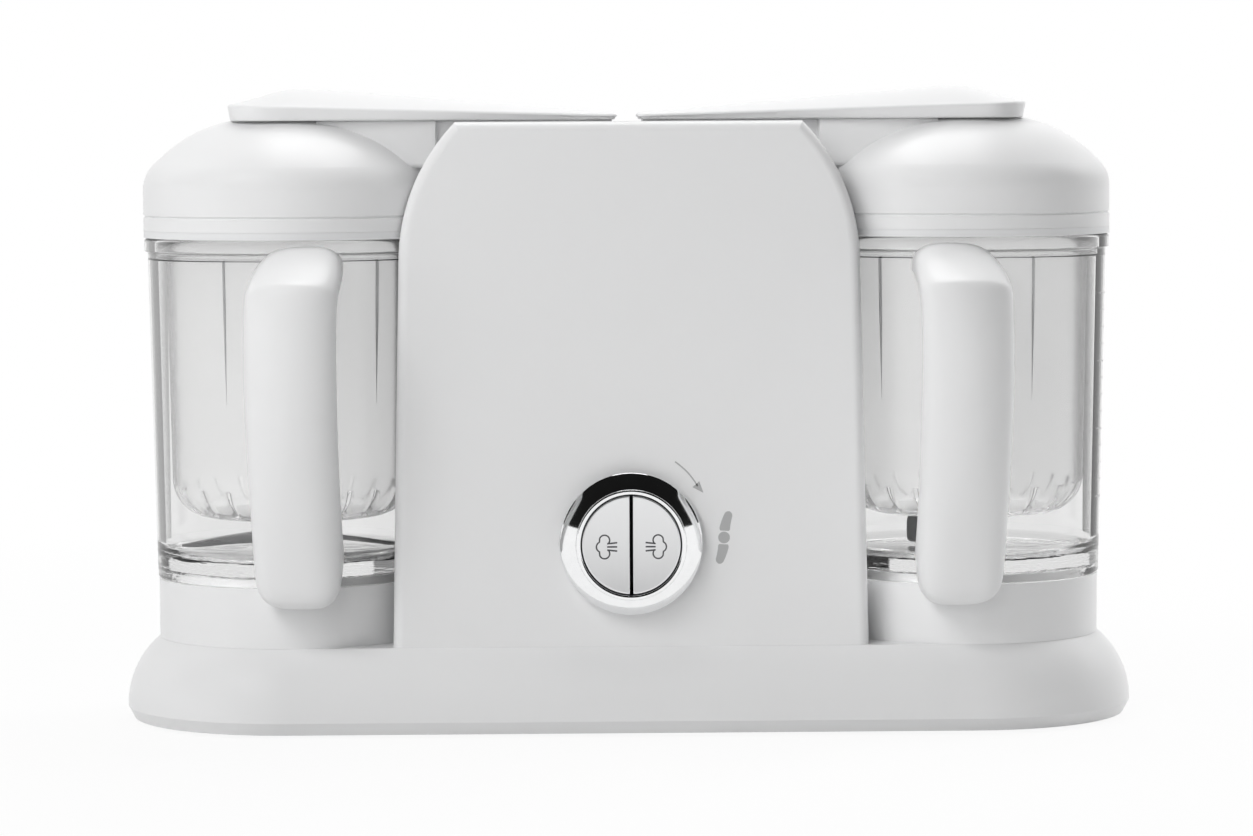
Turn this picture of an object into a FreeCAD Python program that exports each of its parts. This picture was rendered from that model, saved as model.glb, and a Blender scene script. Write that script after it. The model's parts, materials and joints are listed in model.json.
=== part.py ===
"""Twin-bowl baby food maker: steam cooker and blender, as a parametric FreeCAD document.

Frame: +X to the viewer's right, +Y away from the viewer, +Z up, origin under the middle of the
whole object. Sub-parts are drawn about the plane of the two bowl axes and then moved back by
axis_shift, so that the origin lies midway between the handles and the back of the base.
"""
import FreeCAD, Part
import math
import os
import types

import Sketcher

NODES = {}

# Counts: air slots either side of the middle one, and steam slots round a basket
AIR_SLOTS = 3
STEAM_SLOTS = 16

# Blade wings: angles in degrees where a wing leaves its ring, and its front curve against its reach
WING_ROOT = (-50.0, -6.0, 38.0)
WING_SWEEP = 0.7

doc = FreeCAD.newDocument("baby_food_maker")

# Driving dimensions in millimetres, or in degrees where the note says so
SIZES = (
    ("wall", 2.5, "plastic housing wall"),
    ("fit", 0.05, "gap between pieces fixed to each other, and round running shafts"),
    ("clearance", 0.3, "gap between pieces that lift, turn or slide past each other"),
    ("bowl_offset", 132.0, "middle of the base to each bowl axis"),
    ("base_radius", 65.5, "half depth of the base, and the radius of its round ends"),
    ("foot_height", 1.2, "rubber foot below the base"),
    ("foot_radius", 8.0, "rubber foot"),
    ("foot_spread", 40.0, "rubber foot, front to back from the middle"),
    ("skirt_foot", 6.0, "height of the widest line of the base"),
    ("skirt_bevel", 2.5, "undercut of the base below its widest line"),
    ("skirt_curve", 34.5, "radius of the flared skirt"),
    ("base_height", 33.0, "top of the base"),
    ("plate_thickness", 3.0, "bottom plate"),
    ("air_slot_width", 3.0, "air slot in the bottom plate"),
    ("air_slot_length", 34.0, "air slot in the bottom plate"),
    ("air_slot_pitch", 9.0, "air slots, middle to middle"),
    ("boss_radius", 4.0, "screw boss inside the base"),
    ("boss_side", 30.0, "outer screw bosses, outwards from the bowl axis"),
    ("boss_spread", 33.0, "outer screw bosses, front to back"),
    ("boss_middle", 42.0, "middle screw bosses, front to back"),
    ("screw_radius", 1.5, "screw shank"),
    ("screw_head", 3.0, "screw head radius"),
    ("screw_length", 14.0, "screw under its head"),
    ("head_height", 1.6, "screw head"),
    ("pedestal_radius", 52.7, "pedestal under a bowl"),
    ("pedestal_height", 23.0, "pedestal above the base"),
    ("spigot_radius", 46.0, "raised ring on the pedestal that centres the bowl"),
    ("spigot_height", 3.0, "raised ring above the pedestal"),
    ("hub_radius", 11.0, "boss round the bush in the pedestal"),
    ("hub_drop", 4.0, "boss end above the top of the base"),
    ("bush_radius", 7.0, "bronze bush, outside"),
    ("bush_length", 18.0, "bronze bush"),
    ("spindle_radius", 4.0, "spindle shaft"),
    ("dog_radius", 6.0, "six-sided drive dog, to its corners"),
    ("collar_radius", 6.6, "thrust collar under the dog"),
    ("collar_height", 3.0, "thrust collar"),
    ("belt_level", 8.0, "underside of the lower pulley"),
    ("pulley_width", 7.0, "driven pulley"),
    ("pulley_flange", 1.0, "flange beside the belt"),
    ("level_gap", 2.0, "space between the two belt levels"),
    ("pulley_radius", 22.0, "driven pulley under its belt"),
    ("drive_radius", 11.0, "motor pulley under its belts"),
    ("flange_rise", 2.5, "pulley flange above the belt track"),
    ("belt_thickness", 1.5, "flat belt"),
    ("belt_gap", 0.15, "belt to pulley, all round"),
    ("motor_radius", 29.0, "motor housing"),
    ("motor_height", 76.0, "motor housing"),
    ("motor_wall", 2.0, "motor housing wall"),
    ("motor_shaft", 3.0, "motor shaft radius"),
    ("core_radius", 20.0, "rotor core"),
    ("core_length", 46.0, "rotor core"),
    ("bracket_radius", 36.0, "motor bracket"),
    ("bracket_thickness", 3.0, "motor bracket"),
    ("bearing_radius", 8.0, "bearing boss of the motor bracket"),
    ("bearing_depth", 5.0, "bearing boss below and above the bracket"),
    ("panel_face", 52.0, "bowl axes to the outer face of the front and rear panel"),
    ("panel_depth", 10.0, "front and rear panel, outer face to inner edge"),
    ("panel_wall", 3.0, "outer wall of the panels"),
    ("panel_foot", 91.2, "half width of the panels at the base"),
    ("panel_waist", 88.0, "half width of the panels where the shoulder starts"),
    ("waist_drop", 53.6, "start of the shoulder below the top of the panels"),
    ("shoulder_curve", 76.5, "radius of the panel's shoulder"),
    ("panel_drop", 0.7, "top of the panels below the top of the lids"),
    ("panel_round", 4.0, "rounding of the panels' outer edge"),
    ("tower_gap", 1.5, "bowl rim to the hollow side of the tower"),
    ("tower_web", 12.0, "solid end of the tower body beside each panel"),
    ("window_width", 60.0, "half width of the opening in those ends"),
    ("deck_drop", 22.6, "deck between the panels below their top"),
    ("deck_thickness", 2.5, "deck between the panels"),
    ("board_width", 84.0, "control board"),
    ("board_height", 70.0, "control board"),
    ("board_rise", 85.0, "lower edge of the control board above the base"),
    ("board_thickness", 1.6, "control board"),
    ("block_width", 14.0, "relay and supply blocks on the board"),
    ("block_height", 28.0, "relay and supply blocks on the board"),
    ("block_depth", 7.0, "relay and supply blocks on the board"),
    ("block_offset", 14.0, "relay and supply blocks from the middle of the board"),
    ("post_radius", 2.5, "posts behind the front panel"),
    ("post_length", 9.0, "posts behind the front panel that hold the control board"),
    ("post_inset", 6.0, "board posts, in from the corners"),
    ("knob_rise", 40.0, "axis of the knob above the base"),
    ("knob_radius", 27.4, "knob"),
    ("knob_depth", 10.5, "knob in front of the panel"),
    ("knob_bore", 20.2, "inside of the knob ring"),
    ("knob_lip", 1.2, "flat inner lip of the knob's face"),
    ("knob_side", 5.0, "straight side of the knob"),
    ("knob_face_curve", 9.0, "rounding of the knob's face"),
    ("sleeve_radius", 21.7, "knob sleeve in the panel"),
    ("snap_radius", 23.5, "snap ring behind the panel"),
    ("snap_width", 2.4, "snap ring behind the panel"),
    ("carrier_wall", 0.8, "button carrier round the buttons"),
    ("carrier_flange", 32.0, "button carrier plate behind the panel"),
    ("carrier_plate", 2.0, "button carrier plate"),
    ("carrier_drop", 8.0, "front of the carrier plate behind the panel face"),
    ("carrier_post", 29.0, "carrier posts from the knob axis"),
    ("button_gap", 1.5, "gap between the two buttons"),
    ("button_thickness", 5.0, "button"),
    ("button_travel", 2.0, "button stroke"),
    ("stem_radius", 3.0, "button stem"),
    ("stem_offset", 9.5, "button stem from the knob axis"),
    ("pad_radius", 4.0, "rubber return pad"),
    ("switch_size", 8.0, "switch block behind the carrier"),
    ("switch_depth", 5.0, "switch block behind the carrier"),
    ("tank_offset", 40.0, "water tank from the middle"),
    ("tank_radius", 28.0, "water tank"),
    ("tank_wall", 1.2, "water tank"),
    ("tank_depth", 76.0, "water tank below the deck"),
    ("neck_radius", 17.0, "filling neck"),
    ("neck_rise", 2.5, "filling neck above the deck"),
    ("heater_radius", 24.0, "heater disc under the tank"),
    ("heater_height", 6.0, "heater disc"),
    ("thermostat_radius", 6.0, "thermostat under the heater"),
    ("thermostat_height", 4.0, "thermostat"),
    ("bowl_foot_radius", 53.1, "bowl at its foot"),
    ("bowl_top_radius", 55.7, "bowl under its rim"),
    ("rim_radius", 57.0, "bowl rim"),
    ("bowl_height", 132.7, "bowl from its foot to the top of its rim"),
    ("rim_depth", 5.0, "bowl rim"),
    ("rim_bevel", 0.6, "bevelled edges of the bowl rim"),
    ("bowl_wall", 3.0, "bowl wall at the foot"),
    ("bowl_floor", 3.0, "bowl floor"),
    ("foot_ring", 5.3, "bowl floor above the bowl's foot"),
    ("floor_round", 6.0, "rounding inside the bowl's floor"),
    ("ledge_drop", 8.0, "ledge that carries the basket below the top of the bowl"),
    ("ledge_width", 1.2, "ledge inside the bowl"),
    ("chimney_radius", 10.5, "tube in the bowl round the drive dog"),
    ("chimney_wall", 2.3, "tube in the bowl"),
    ("chimney_height", 6.0, "tube above the bowl floor"),
    ("seal_height", 0.8, "seal ring under the blade hub"),
    ("blade_hub_radius", 13.0, "blade hub"),
    ("blade_hub_height", 11.5, "blade hub"),
    ("hub_roof", 2.5, "blade hub above the drive dog"),
    ("blade_reach", 44.0, "blade tip from the axis"),
    ("blade_thickness", 1.6, "blade"),
    ("blade_lift", 2.5, "blade above the hub's lower end"),
    ("blade_ring", 16.5, "blade ring round the hub"),
    ("basket_top_radius", 48.5, "steam basket under its rim"),
    ("basket_foot_radius", 47.0, "steam basket above its rounded bottom"),
    ("basket_round", 15.0, "rounding of the basket's bottom"),
    ("basket_lift", 15.4, "underside of the basket above the bowl floor"),
    ("basket_wall", 1.8, "steam basket"),
    ("basket_rim", 6.3, "rim of the steam basket"),
    ("slot_width", 2.4, "steam slot in the basket"),
    ("slot_length", 13.0, "steam slot in the basket"),
    ("slot_start", 30.0, "inner end of the steam slots"),
    ("slot_rise", 10.5, "steam slots up the basket's rounded bottom"),
    ("rib_width", 1.2, "rib on the basket"),
    ("rib_depth", 0.8, "rib on the basket"),
    ("rib_length", 60.0, "rib on the basket"),
    ("rib_angle", 38.0, "ribs either side of the front and back, in degrees"),
    ("handle_reach", 92.0, "front of the handle from the bowl axis"),
    ("handle_width", 36.0, "handle"),
    ("handle_tip_width", 31.0, "handle at its lower end"),
    ("handle_thickness", 14.0, "handle"),
    ("handle_drop", 2.0, "top of the handle below the top of the bowl"),
    ("handle_overhang", 2.8, "lower end of the handle below the bowl's foot"),
    ("handle_bend", 24.0, "rounding of the handle's upper bend"),
    ("handle_sweep", 228.0, "radius of the handle's long front curve"),
    ("handle_corner", 11.0, "rounded corners of the handle, seen from the front"),
    ("handle_round", 4.0, "rounded front edges of the handle"),
    ("handle_heel", 21.0, "lower end of the finger gap above the handle's foot"),
    ("handle_ease", 0.9, "gap between the handle's foot and the pedestal"),
    ("handle_turn", 4.6, "handle turned towards the tower, in degrees"),
    ("lid_radius", 57.2, "lid"),
    ("lid_side", 16.0, "upright side of the lid"),
    ("lid_corner", 13.0, "rounding above the lid's side"),
    ("lid_crown", 58.0, "radius of the lid's dome"),
    ("lid_break", 42.0, "angle where the two curves of the lid meet, in degrees"),
    ("lid_flat", 24.24, "radius of the flat on top of the lid"),
    ("lid_gap", 3.0, "lid edge above the bowl rim"),
    ("seam_share", 0.34, "seam line, as a share of the lid's upright side"),
    ("seam_depth", 0.7, "seam line round the lid"),
    ("gasket_width", 3.4, "lid gasket"),
    ("gasket_height", 5.0, "lid gasket"),
    ("gasket_shelf", 2.0, "shelf above the lid gasket"),
    ("port_width", 25.0, "steam port in the side of the lid"),
    ("port_rise", 5.0, "lower edge of the steam port above the underside of the neck"),
    ("port_height", 7.5, "steam port in the side of the lid"),
    ("bridge_width", 25.0, "half width of the neck between lid and tower"),
    ("bridge_inner", 16.0, "inner end of the neck from the middle"),
    ("seal_gap", 2.5, "underside of the neck above the filling neck"),
    ("bridge_wall", 2.5, "wall of the neck"),
    ("steam_hole", 10.0, "steam hole in the neck above the tank"),
    ("tank_seal_width", 4.0, "seal ring over the filling neck"),
    ("hinge_offset", 10.0, "lid hinge from the middle"),
    ("hinge_drop", 5.3, "lid hinge below the top of the lid"),
    ("barrel_radius", 4.0, "hinge barrel"),
    ("pin_radius", 2.0, "hinge pin"),
    ("hinge_web", 6.5, "web between the barrel and the neck"),
    ("saddle_width", 4.0, "hinge saddle along the pin"),
    ("saddle_gap", 0.9, "hinge saddle to the neck of the lid"),
    ("saddle_length", 10.0, "hinge saddle across the pin"),
    ("arm_tip", 4.0, "inner end of the lever arm from the middle"),
    ("arm_end", 155.0, "outer end of the lever arm from the middle"),
    ("arm_ridge", 131.0, "highest line of the arm from the middle"),
    ("arm_tip_width", 24.5, "half width of the arm at its inner end"),
    ("arm_width", 31.0, "half width of the arm over the lid"),
    ("arm_tip_rim", 2.0, "edge of the arm at its inner end"),
    ("arm_rim", 5.3, "edge of the arm at its outer end"),
    ("arm_tip_crown", 0.5, "crown above the edge at the inner end"),
    ("arm_crown", 7.2, "crown above the edge over the lid"),
    ("arm_end_crown", 0.6, "crown above the edge at the outer end"),
    ("arm_corner", 18.0, "rounded outer corners of the arm"),
    ("gland_height", 15.0, "cord gland above the base"),
    ("gland_radius", 6.4, "cord gland in the rear panel"),
    ("gland_flange", 9.0, "cord gland flange"),
    ("gland_bore", 3.6, "cord gland bore"),
    ("gland_length", 10.0, "cord gland outside the panel"),
    ("gland_tail", 6.0, "cord gland behind the panel's outer face"),
    ("gland_flange_depth", 2.5, "cord gland flange"),
    ("gland_nose", 1.25, "wall of the cord gland's tapered end"),
)


class Dim:
    """A size known both as a number and as the sheet expression that gives it."""

    def __init__(self, value, text):
        self.value = value
        self.text = text

    def __add__(self, other):
        other = dim(other)
        return Dim(self.value + other.value, f"({self.text} + {other.text})")

    def __sub__(self, other):
        other = dim(other)
        return Dim(self.value - other.value, f"({self.text} - {other.text})")

    def __mul__(self, other):
        other = dim(other)
        return Dim(self.value * other.value, f"({self.text} * {other.text})")

    def __truediv__(self, other):
        other = dim(other)
        return Dim(self.value / other.value, f"({self.text} / {other.text})")

    def __neg__(self):
        return Dim(-self.value, f"(-1 * {self.text})")


def dim(size):
    """A plain number becomes a constant expression."""
    return size if isinstance(size, Dim) else Dim(float(size), repr(float(size)))


def root(size):
    return Dim(math.sqrt(size.value), f"sqrt({size.text})")


def sine(angle):
    return Dim(math.sin(math.radians(angle.value)), f"sin({angle.text})")


def cosine(angle):
    return Dim(math.cos(math.radians(angle.value)), f"cos({angle.text})")


def fill_sheet():
    """The sheet of driving dimensions, and each one as a Dim under its alias."""
    sheet = doc.addObject("Spreadsheet::Sheet", "Sizes")
    for row, (alias, value, note) in enumerate(SIZES, start=1):
        sheet.set(f"A{row}", alias)
        sheet.set(f"B{row}", str(value))
        sheet.setAlias(f"B{row}", alias)
        sheet.set(f"C{row}", note)
    doc.recompute()
    return types.SimpleNamespace(**{a: Dim(v, f"Sizes.{a}") for a, v, _ in SIZES})


S = fill_sheet()


def bind(thing, **sizes):
    """Tie properties to sheet expressions; a double underscore stands for a dot."""
    for path, size in sizes.items():
        thing.setExpression(path.replace("__", "."), dim(size).text)


# Sketches and features

def new_body(name):
    body = doc.addObject("PartDesign::Body", name)
    body.Label = name
    return body


def sketch(body, name, plane, shift=(0, 0, 0)):
    """A sketch on one of the body's origin planes, moved by shift in the sketch's own axes."""
    drawing = body.newObject("Sketcher::SketchObject", f"{body.Name}_{name}")
    support = [f for f in body.Origin.OriginFeatures if f.Role == plane][0]
    drawing.AttachmentSupport = (support, [""])
    drawing.MapMode = "FlatFace"
    u, v, w = shift
    bind(drawing, AttachmentOffset__Base__x=u, AttachmentOffset__Base__y=v, AttachmentOffset__Base__z=w)
    return drawing


def pin_point(drawing, edge, end, u, v):
    """Fix one end of an edge at (u, v) from the sketch's origin."""
    for axis, coordinate, kind in ((-2, u, "DistanceX"), (-1, v, "DistanceY")):
        if coordinate.value == 0:
            drawing.addConstraint(Sketcher.Constraint("PointOnObject", edge, end, axis))
            continue
        number = drawing.addConstraint(Sketcher.Constraint(kind, -1, 1, edge, end, coordinate.value))
        drawing.setExpression(f"Constraints[{number}]", coordinate.text)


def arc_between(p, q, radius):
    """Circular arc from p to q: a positive radius turns left on the way, a negative one right."""
    chord = q - p
    left = FreeCAD.Vector(-chord.y, chord.x, 0).normalize()
    rise = math.sqrt(radius * radius - chord.Length * chord.Length / 4)
    centre = p + chord / 2 + left * math.copysign(rise, radius)
    first, last = (p, q) if radius > 0 else (q, p)
    angles = [math.atan2(e.y - centre.y, e.x - centre.x) for e in (first, last)]
    circle = Part.Circle(centre, FreeCAD.Vector(0, 0, 1), abs(radius))
    return Part.ArcOfCircle(circle, *angles)


def loop(drawing, corners):
    """A closed outline; a corner is (u, v), or (u, v, radius) where an arc leaves it."""
    corners = [tuple(dim(c) for c in corner) for corner in corners]
    spots = [FreeCAD.Vector(c[0].value, c[1].value, 0) for c in corners]
    sides = []
    for i, corner in enumerate(corners):
        start, stop = spots[i], spots[(i + 1) % len(spots)]
        if len(corner) == 2:
            sides.append((drawing.addGeometry(Part.LineSegment(start, stop)), 1, 2))
            continue
        edge = drawing.addGeometry(arc_between(start, stop, corner[2].value))
        sides.append((edge, 1, 2) if corner[2].value > 0 else (edge, 2, 1))
    for i, (edge, begin, end) in enumerate(sides):
        after, after_begin, _ = sides[(i + 1) % len(sides)]
        drawing.addConstraint(Sketcher.Constraint("Coincident", edge, end, after, after_begin))
    for (edge, begin, end), corner in zip(sides, corners):
        pin_point(drawing, edge, begin, corner[0], corner[1])
        if len(corner) == 3:
            radius = corner[2] if corner[2].value > 0 else -corner[2]
            number = drawing.addConstraint(Sketcher.Constraint("Radius", edge, radius.value))
            drawing.setExpression(f"Constraints[{number}]", radius.text)
    return drawing


def ring(drawing, u, v, radius):
    """A full circle about (u, v)."""
    u, v, radius = dim(u), dim(v), dim(radius)
    centre = FreeCAD.Vector(u.value, v.value, 0)
    edge = drawing.addGeometry(Part.Circle(centre, FreeCAD.Vector(0, 0, 1), radius.value))
    pin_point(drawing, edge, 3, u, v)
    number = drawing.addConstraint(Sketcher.Constraint("Radius", edge, radius.value))
    drawing.setExpression(f"Constraints[{number}]", radius.text)
    return drawing


def box_loop(drawing, left, right, low, high):
    return loop(drawing, [(left, low), (right, low), (right, high), (left, high)])


def turn(drawing, kind="Revolution"):
    """Turn a sketch a full circle about its own upright axis."""
    body = drawing.getParentGeoFeatureGroup()
    feature = body.newObject(f"PartDesign::{kind}", f"{drawing.Name}_{kind}")
    feature.Profile = drawing
    feature.ReferenceAxis = (drawing, ["V_Axis"])
    feature.Angle = 360
    return feature


def extrude(drawing, length, kind="Pad", both_ways=False, backwards=False):
    """Pad or pocket a sketch; both_ways spreads the length evenly about the sketch."""
    body = drawing.getParentGeoFeatureGroup()
    feature = body.newObject(f"PartDesign::{kind}", f"{drawing.Name}_{kind}")
    feature.Profile = drawing
    feature.SideType = "Symmetric" if both_ways else "One side"
    feature.Reversed = backwards
    bind(feature, Length=length)
    return feature


def pattern(feature, copies, axis="Z_Axis"):
    """Repeat a feature evenly round one of its body's axes."""
    body = feature.getParentGeoFeatureGroup()
    polar = body.newObject("PartDesign::PolarPattern", f"{feature.Name}_pattern")
    polar.Originals = [feature]
    polar.Axis = ([f for f in body.Origin.OriginFeatures if f.Role == axis][0], [""])
    polar.Angle = 360
    polar.Occurrences = copies
    body.Tip = polar
    return polar


def turned(name, corners):
    """A body of revolution about its own Z axis, from its profile of (radius, height) corners."""
    body = new_body(name)
    turn(loop(sketch(body, "profile", "XZ_Plane"), corners))
    return body


UPRIGHT = FreeCAD.Rotation()
HALF_TURN = FreeCAD.Rotation(FreeCAD.Vector(0, 0, 1), 180)
SIXTH_TURN = FreeCAD.Rotation(FreeCAD.Vector(0, 0, 1), 60)
FACING_FRONT = FreeCAD.Rotation(FreeCAD.Vector(1, 0, 0), 90)
FACING_BACK = FreeCAD.Rotation(FreeCAD.Vector(1, 0, 0), -90)

# Two sides of the object: name, sign of X, and the turn that makes the left one from the right one
SIDES = (("left", -1, HALF_TURN), ("right", 1, UPRIGHT))

handle_front = S.handle_reach * cosine(S.handle_turn) + S.handle_width / 2 * sine(S.handle_turn)
axis_shift = (handle_front - S.base_radius) / 2


def place(thing, x=0, y=0, z=0, rotation=UPRIGHT):
    """Put a finished sub-part in the object's frame and list it as a node."""
    thing.Placement = FreeCAD.Placement(FreeCAD.Vector(), rotation)
    bind(thing, Placement__Base__x=x, Placement__Base__y=axis_shift + y, Placement__Base__z=z)
    NODES[thing.Label] = thing
    return thing


def group(name, solids):
    """Several separate solids under one node."""
    fused = doc.addObject("Part::MultiFuse", name)
    fused.Label = name
    fused.Shapes = solids
    return place(fused)


def cylinder(name, radius, height, x=0, y=0, z=0):
    solid = doc.addObject("Part::Cylinder", name)
    bind(solid, Radius=radius, Height=height)
    bind(solid, Placement__Base__x=x, Placement__Base__y=y, Placement__Base__z=z)
    return solid


# Heights and places that several sub-parts share

pedestal_top = S.base_height + S.pedestal_height
bowl_foot = pedestal_top + S.clearance
bowl_floor_top = bowl_foot + S.foot_ring + S.bowl_floor
chimney_top = bowl_floor_top + S.chimney_height
blade_hub_foot = bowl_floor_top + S.seal_height + S.clearance
blade_hub_top = blade_hub_foot + S.blade_hub_height
bush_top = pedestal_top + S.spigot_height - S.fit
collar_foot = bush_top + S.clearance
dog_foot = collar_foot + S.collar_height
dog_top = blade_hub_top - S.hub_roof - S.clearance
rim_height = bowl_foot + S.bowl_height
ledge_height = rim_height - S.ledge_drop
basket_bottom = bowl_floor_top + S.basket_lift
handle_top = rim_height - S.handle_drop
handle_foot = bowl_foot - S.handle_overhang
lid_foot = rim_height + S.lid_gap
lid_shoulder = lid_foot + S.lid_side
seam_height = lid_foot + S.lid_side * S.seam_share
lid_corner_r = S.lid_radius - S.lid_corner
crown_r = lid_corner_r + cosine(S.lid_break) * (S.lid_corner - S.lid_crown)
crown_z = lid_shoulder + sine(S.lid_break) * (S.lid_corner - S.lid_crown)
lid_top = crown_z + root(S.lid_crown * S.lid_crown - (S.lid_flat - crown_r) * (S.lid_flat - crown_r))
arm_under = lid_top + S.fit
hinge_height = lid_top - S.hinge_drop
panel_top = lid_top - S.panel_drop
waist_height = panel_top - S.waist_drop
deck_top = panel_top - S.deck_drop
deck_under = deck_top - S.deck_thickness
neck_top = deck_top + S.neck_rise
bridge_floor = neck_top + S.seal_gap
port_foot = bridge_floor + S.port_rise
knob_height = S.base_height + S.knob_rise
board_foot = S.base_height + S.board_rise
plate_top = S.foot_height + S.plate_thickness
panel_inner = S.panel_face - S.panel_depth
tower_hollow = S.rim_radius + S.tower_gap
level_step = S.pulley_width + S.level_gap
cavity_radius = S.base_radius - S.skirt_bevel - S.wall
skirt_centre = S.base_radius - S.skirt_curve
upper_belt = S.belt_level + level_step


# Base

def skirt_radius(radius, height):
    """Radius of the skirt's curve at a height, for a curve of the given radius."""
    rise = height - S.skirt_foot
    return skirt_centre + root(radius * radius - rise * rise)


def base_section(inner):
    """Right half of the base's section: outside, or the hollow inside it."""
    if inner:
        top = S.base_height - S.wall
        foot, side, curve = cavity_radius, cavity_radius, cavity_radius - skirt_centre
    else:
        top = S.base_height
        foot, side, curve = S.base_radius - S.skirt_bevel, S.base_radius, S.skirt_curve
    return [(0, S.foot_height), (foot, S.foot_height), (side, S.skirt_foot, curve),
            (skirt_radius(curve, top), top), (0, top)]


def screw_places():
    side = S.bowl_offset + S.boss_side
    outer = [(side * x, S.boss_spread * y) for x in (-1, 1) for y in (-1, 1)]
    return outer + [(dim(0), S.boss_middle * y) for y in (-1, 1)]


def make_base_shell():
    """Stadium-shaped housing: two round ends and a straight middle, hollow and open below."""
    body = new_body("base_shell")
    for inner, end_kind, middle_kind in ((False, "Revolution", "Pad"), (True, "Groove", "Pocket")):
        section = base_section(inner)
        for side, sign, _ in SIDES:
            drawing = sketch(body, f"{side}_{end_kind}", "XZ_Plane", (S.bowl_offset * sign, 0, 0))
            turn(loop(drawing, section), end_kind)
        for half, sign in (("back", 1), ("front", -1)):
            corners = [(dim(c[0]) * sign, *c[1:]) for c in section]
            if sign < 0:
                corners[2] = (corners[2][0], corners[2][1], -section[2][2])
            drawing = loop(sketch(body, f"{half}_{middle_kind}", "YZ_Plane"), corners)
            extrude(drawing, S.bowl_offset * 2, middle_kind, both_ways=True)
    bosses = sketch(body, "bosses", "XY_Plane", (0, 0, plate_top))
    for x, y in screw_places():
        ring(bosses, x, y, S.boss_radius)
    extrude(bosses, S.base_height - S.wall / 2 - plate_top)
    pilots = sketch(body, "pilots", "XY_Plane", (0, 0, plate_top))
    for x, y in screw_places():
        ring(pilots, x, y, S.screw_radius + S.fit)
    extrude(pilots, S.screw_length, "Pocket", backwards=True)
    openings = sketch(body, "openings", "XY_Plane", (0, 0, S.base_height))
    ring(openings, 0, 0, S.bearing_radius + S.clearance)
    for _, sign, _ in SIDES:
        ring(openings, S.bowl_offset * sign, 0, S.hub_radius)
    extrude(openings, S.wall * 2, "Pocket")
    place(body)


def make_base_plate():
    """Bottom plate inside the skirt, with countersunk screw holes and a row of air slots."""
    body = new_body("base_plate")
    radius = cavity_radius - S.fit
    x = S.bowl_offset
    outline = [(-x, -radius), (x, -radius), (x + radius, 0), (x, radius), (-x, radius), (-x - radius, 0)]
    for corner in (1, 2, 4, 5):
        outline[corner] = (*outline[corner], radius)
    drawing = loop(sketch(body, "outline", "XY_Plane", (0, 0, S.foot_height)), outline)
    extrude(drawing, S.plate_thickness)
    holes = sketch(body, "screw_holes", "XY_Plane", (0, 0, plate_top))
    heads = sketch(body, "head_seats", "XY_Plane", (0, 0, S.foot_height + S.head_height + S.fit))
    for sx, sy in screw_places():
        ring(holes, sx, sy, S.screw_radius + S.clearance)
        ring(heads, sx, sy, S.screw_head + S.clearance)
    extrude(holes, S.plate_thickness, "Pocket")
    extrude(heads, S.head_height + S.fit, "Pocket")
    slots = sketch(body, "air_slots", "XY_Plane", (0, 0, plate_top))
    half = S.air_slot_width / 2
    for step in range(-AIR_SLOTS, AIR_SLOTS + 1):
        middle = S.air_slot_pitch * step
        box_loop(slots, middle - half, middle + half, -S.air_slot_length / 2, S.air_slot_length / 2)
    extrude(slots, S.plate_thickness, "Pocket")
    place(body)


def make_rubber_feet():
    feet = []
    for side, sign, _ in SIDES:
        for row, y in (("front", -S.foot_spread), ("back", S.foot_spread)):
            feet.append(cylinder(f"foot_{side}_{row}", S.foot_radius, S.foot_height, S.bowl_offset * sign, y))
    group("rubber_feet", feet)


def make_base_screws():
    screws = []
    for number, (x, y) in enumerate(screw_places()):
        head = cylinder(f"screw_head_{number}", S.screw_head, S.head_height, x, y, S.foot_height)
        reach = S.head_height + S.screw_length
        shank = cylinder(f"screw_shank_{number}", S.screw_radius, reach, x, y, S.foot_height)
        screws += [head, shank]
    group("base_screws", screws)


def make_pedestal(side, sign):
    """Inverted cup with a raised ring on top that centres the bowl and a boss for the bush."""
    under = pedestal_top - S.wall
    hub_foot = S.base_height + S.hub_drop
    body = turned(f"{side}_pedestal", [
        (S.bush_radius, hub_foot), (S.hub_radius, hub_foot), (S.hub_radius, under),
        (S.pedestal_radius - S.wall, under), (S.pedestal_radius - S.wall, S.base_height),
        (S.pedestal_radius, S.base_height), (S.pedestal_radius, pedestal_top),
        (S.spigot_radius, pedestal_top), (S.spigot_radius, pedestal_top + S.spigot_height),
        (S.bush_radius, pedestal_top + S.spigot_height)])
    place(body, S.bowl_offset * sign)


# Drive: motor, belts and spindles

def make_spindle_bush(side, sign):
    bottom = bush_top - S.bush_length
    inner, outer = S.spindle_radius + S.fit, S.bush_radius - S.fit
    body = turned(f"{side}_spindle_bush",
                  [(inner, bottom), (outer, bottom), (outer, bush_top), (inner, bush_top)])
    place(body, S.bowl_offset * sign)


def six_sides(drawing, radius):
    """Regular hexagon about the sketch's origin."""
    half = radius / 2
    rise = radius * root(dim(0.75))
    loop(drawing, [(radius, 0), (half, rise), (-half, rise), (-radius, 0), (-half, -rise), (half, -rise)])
    return drawing


def make_spindle(side, sign, level):
    """Shaft from the pulley up through the bush, with a thrust collar and the six-sided dog."""
    body = turned(f"{side}_spindle", [
        (0, level), (S.spindle_radius, level), (S.spindle_radius, collar_foot),
        (S.collar_radius, collar_foot), (S.collar_radius, dog_foot), (0, dog_foot)])
    extrude(six_sides(sketch(body, "dog", "XY_Plane", (0, 0, dog_foot)), S.dog_radius), dog_top - dog_foot)
    place(body, S.bowl_offset * sign)


def track(level, radius):
    """Outer corners of one flanged belt track, from its lower to its upper face."""
    top = level + S.pulley_width
    flange = radius + S.flange_rise
    return [(flange, level), (flange, level + S.pulley_flange), (radius, level + S.pulley_flange),
            (radius, top - S.pulley_flange), (flange, top - S.pulley_flange), (flange, top)]


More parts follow.
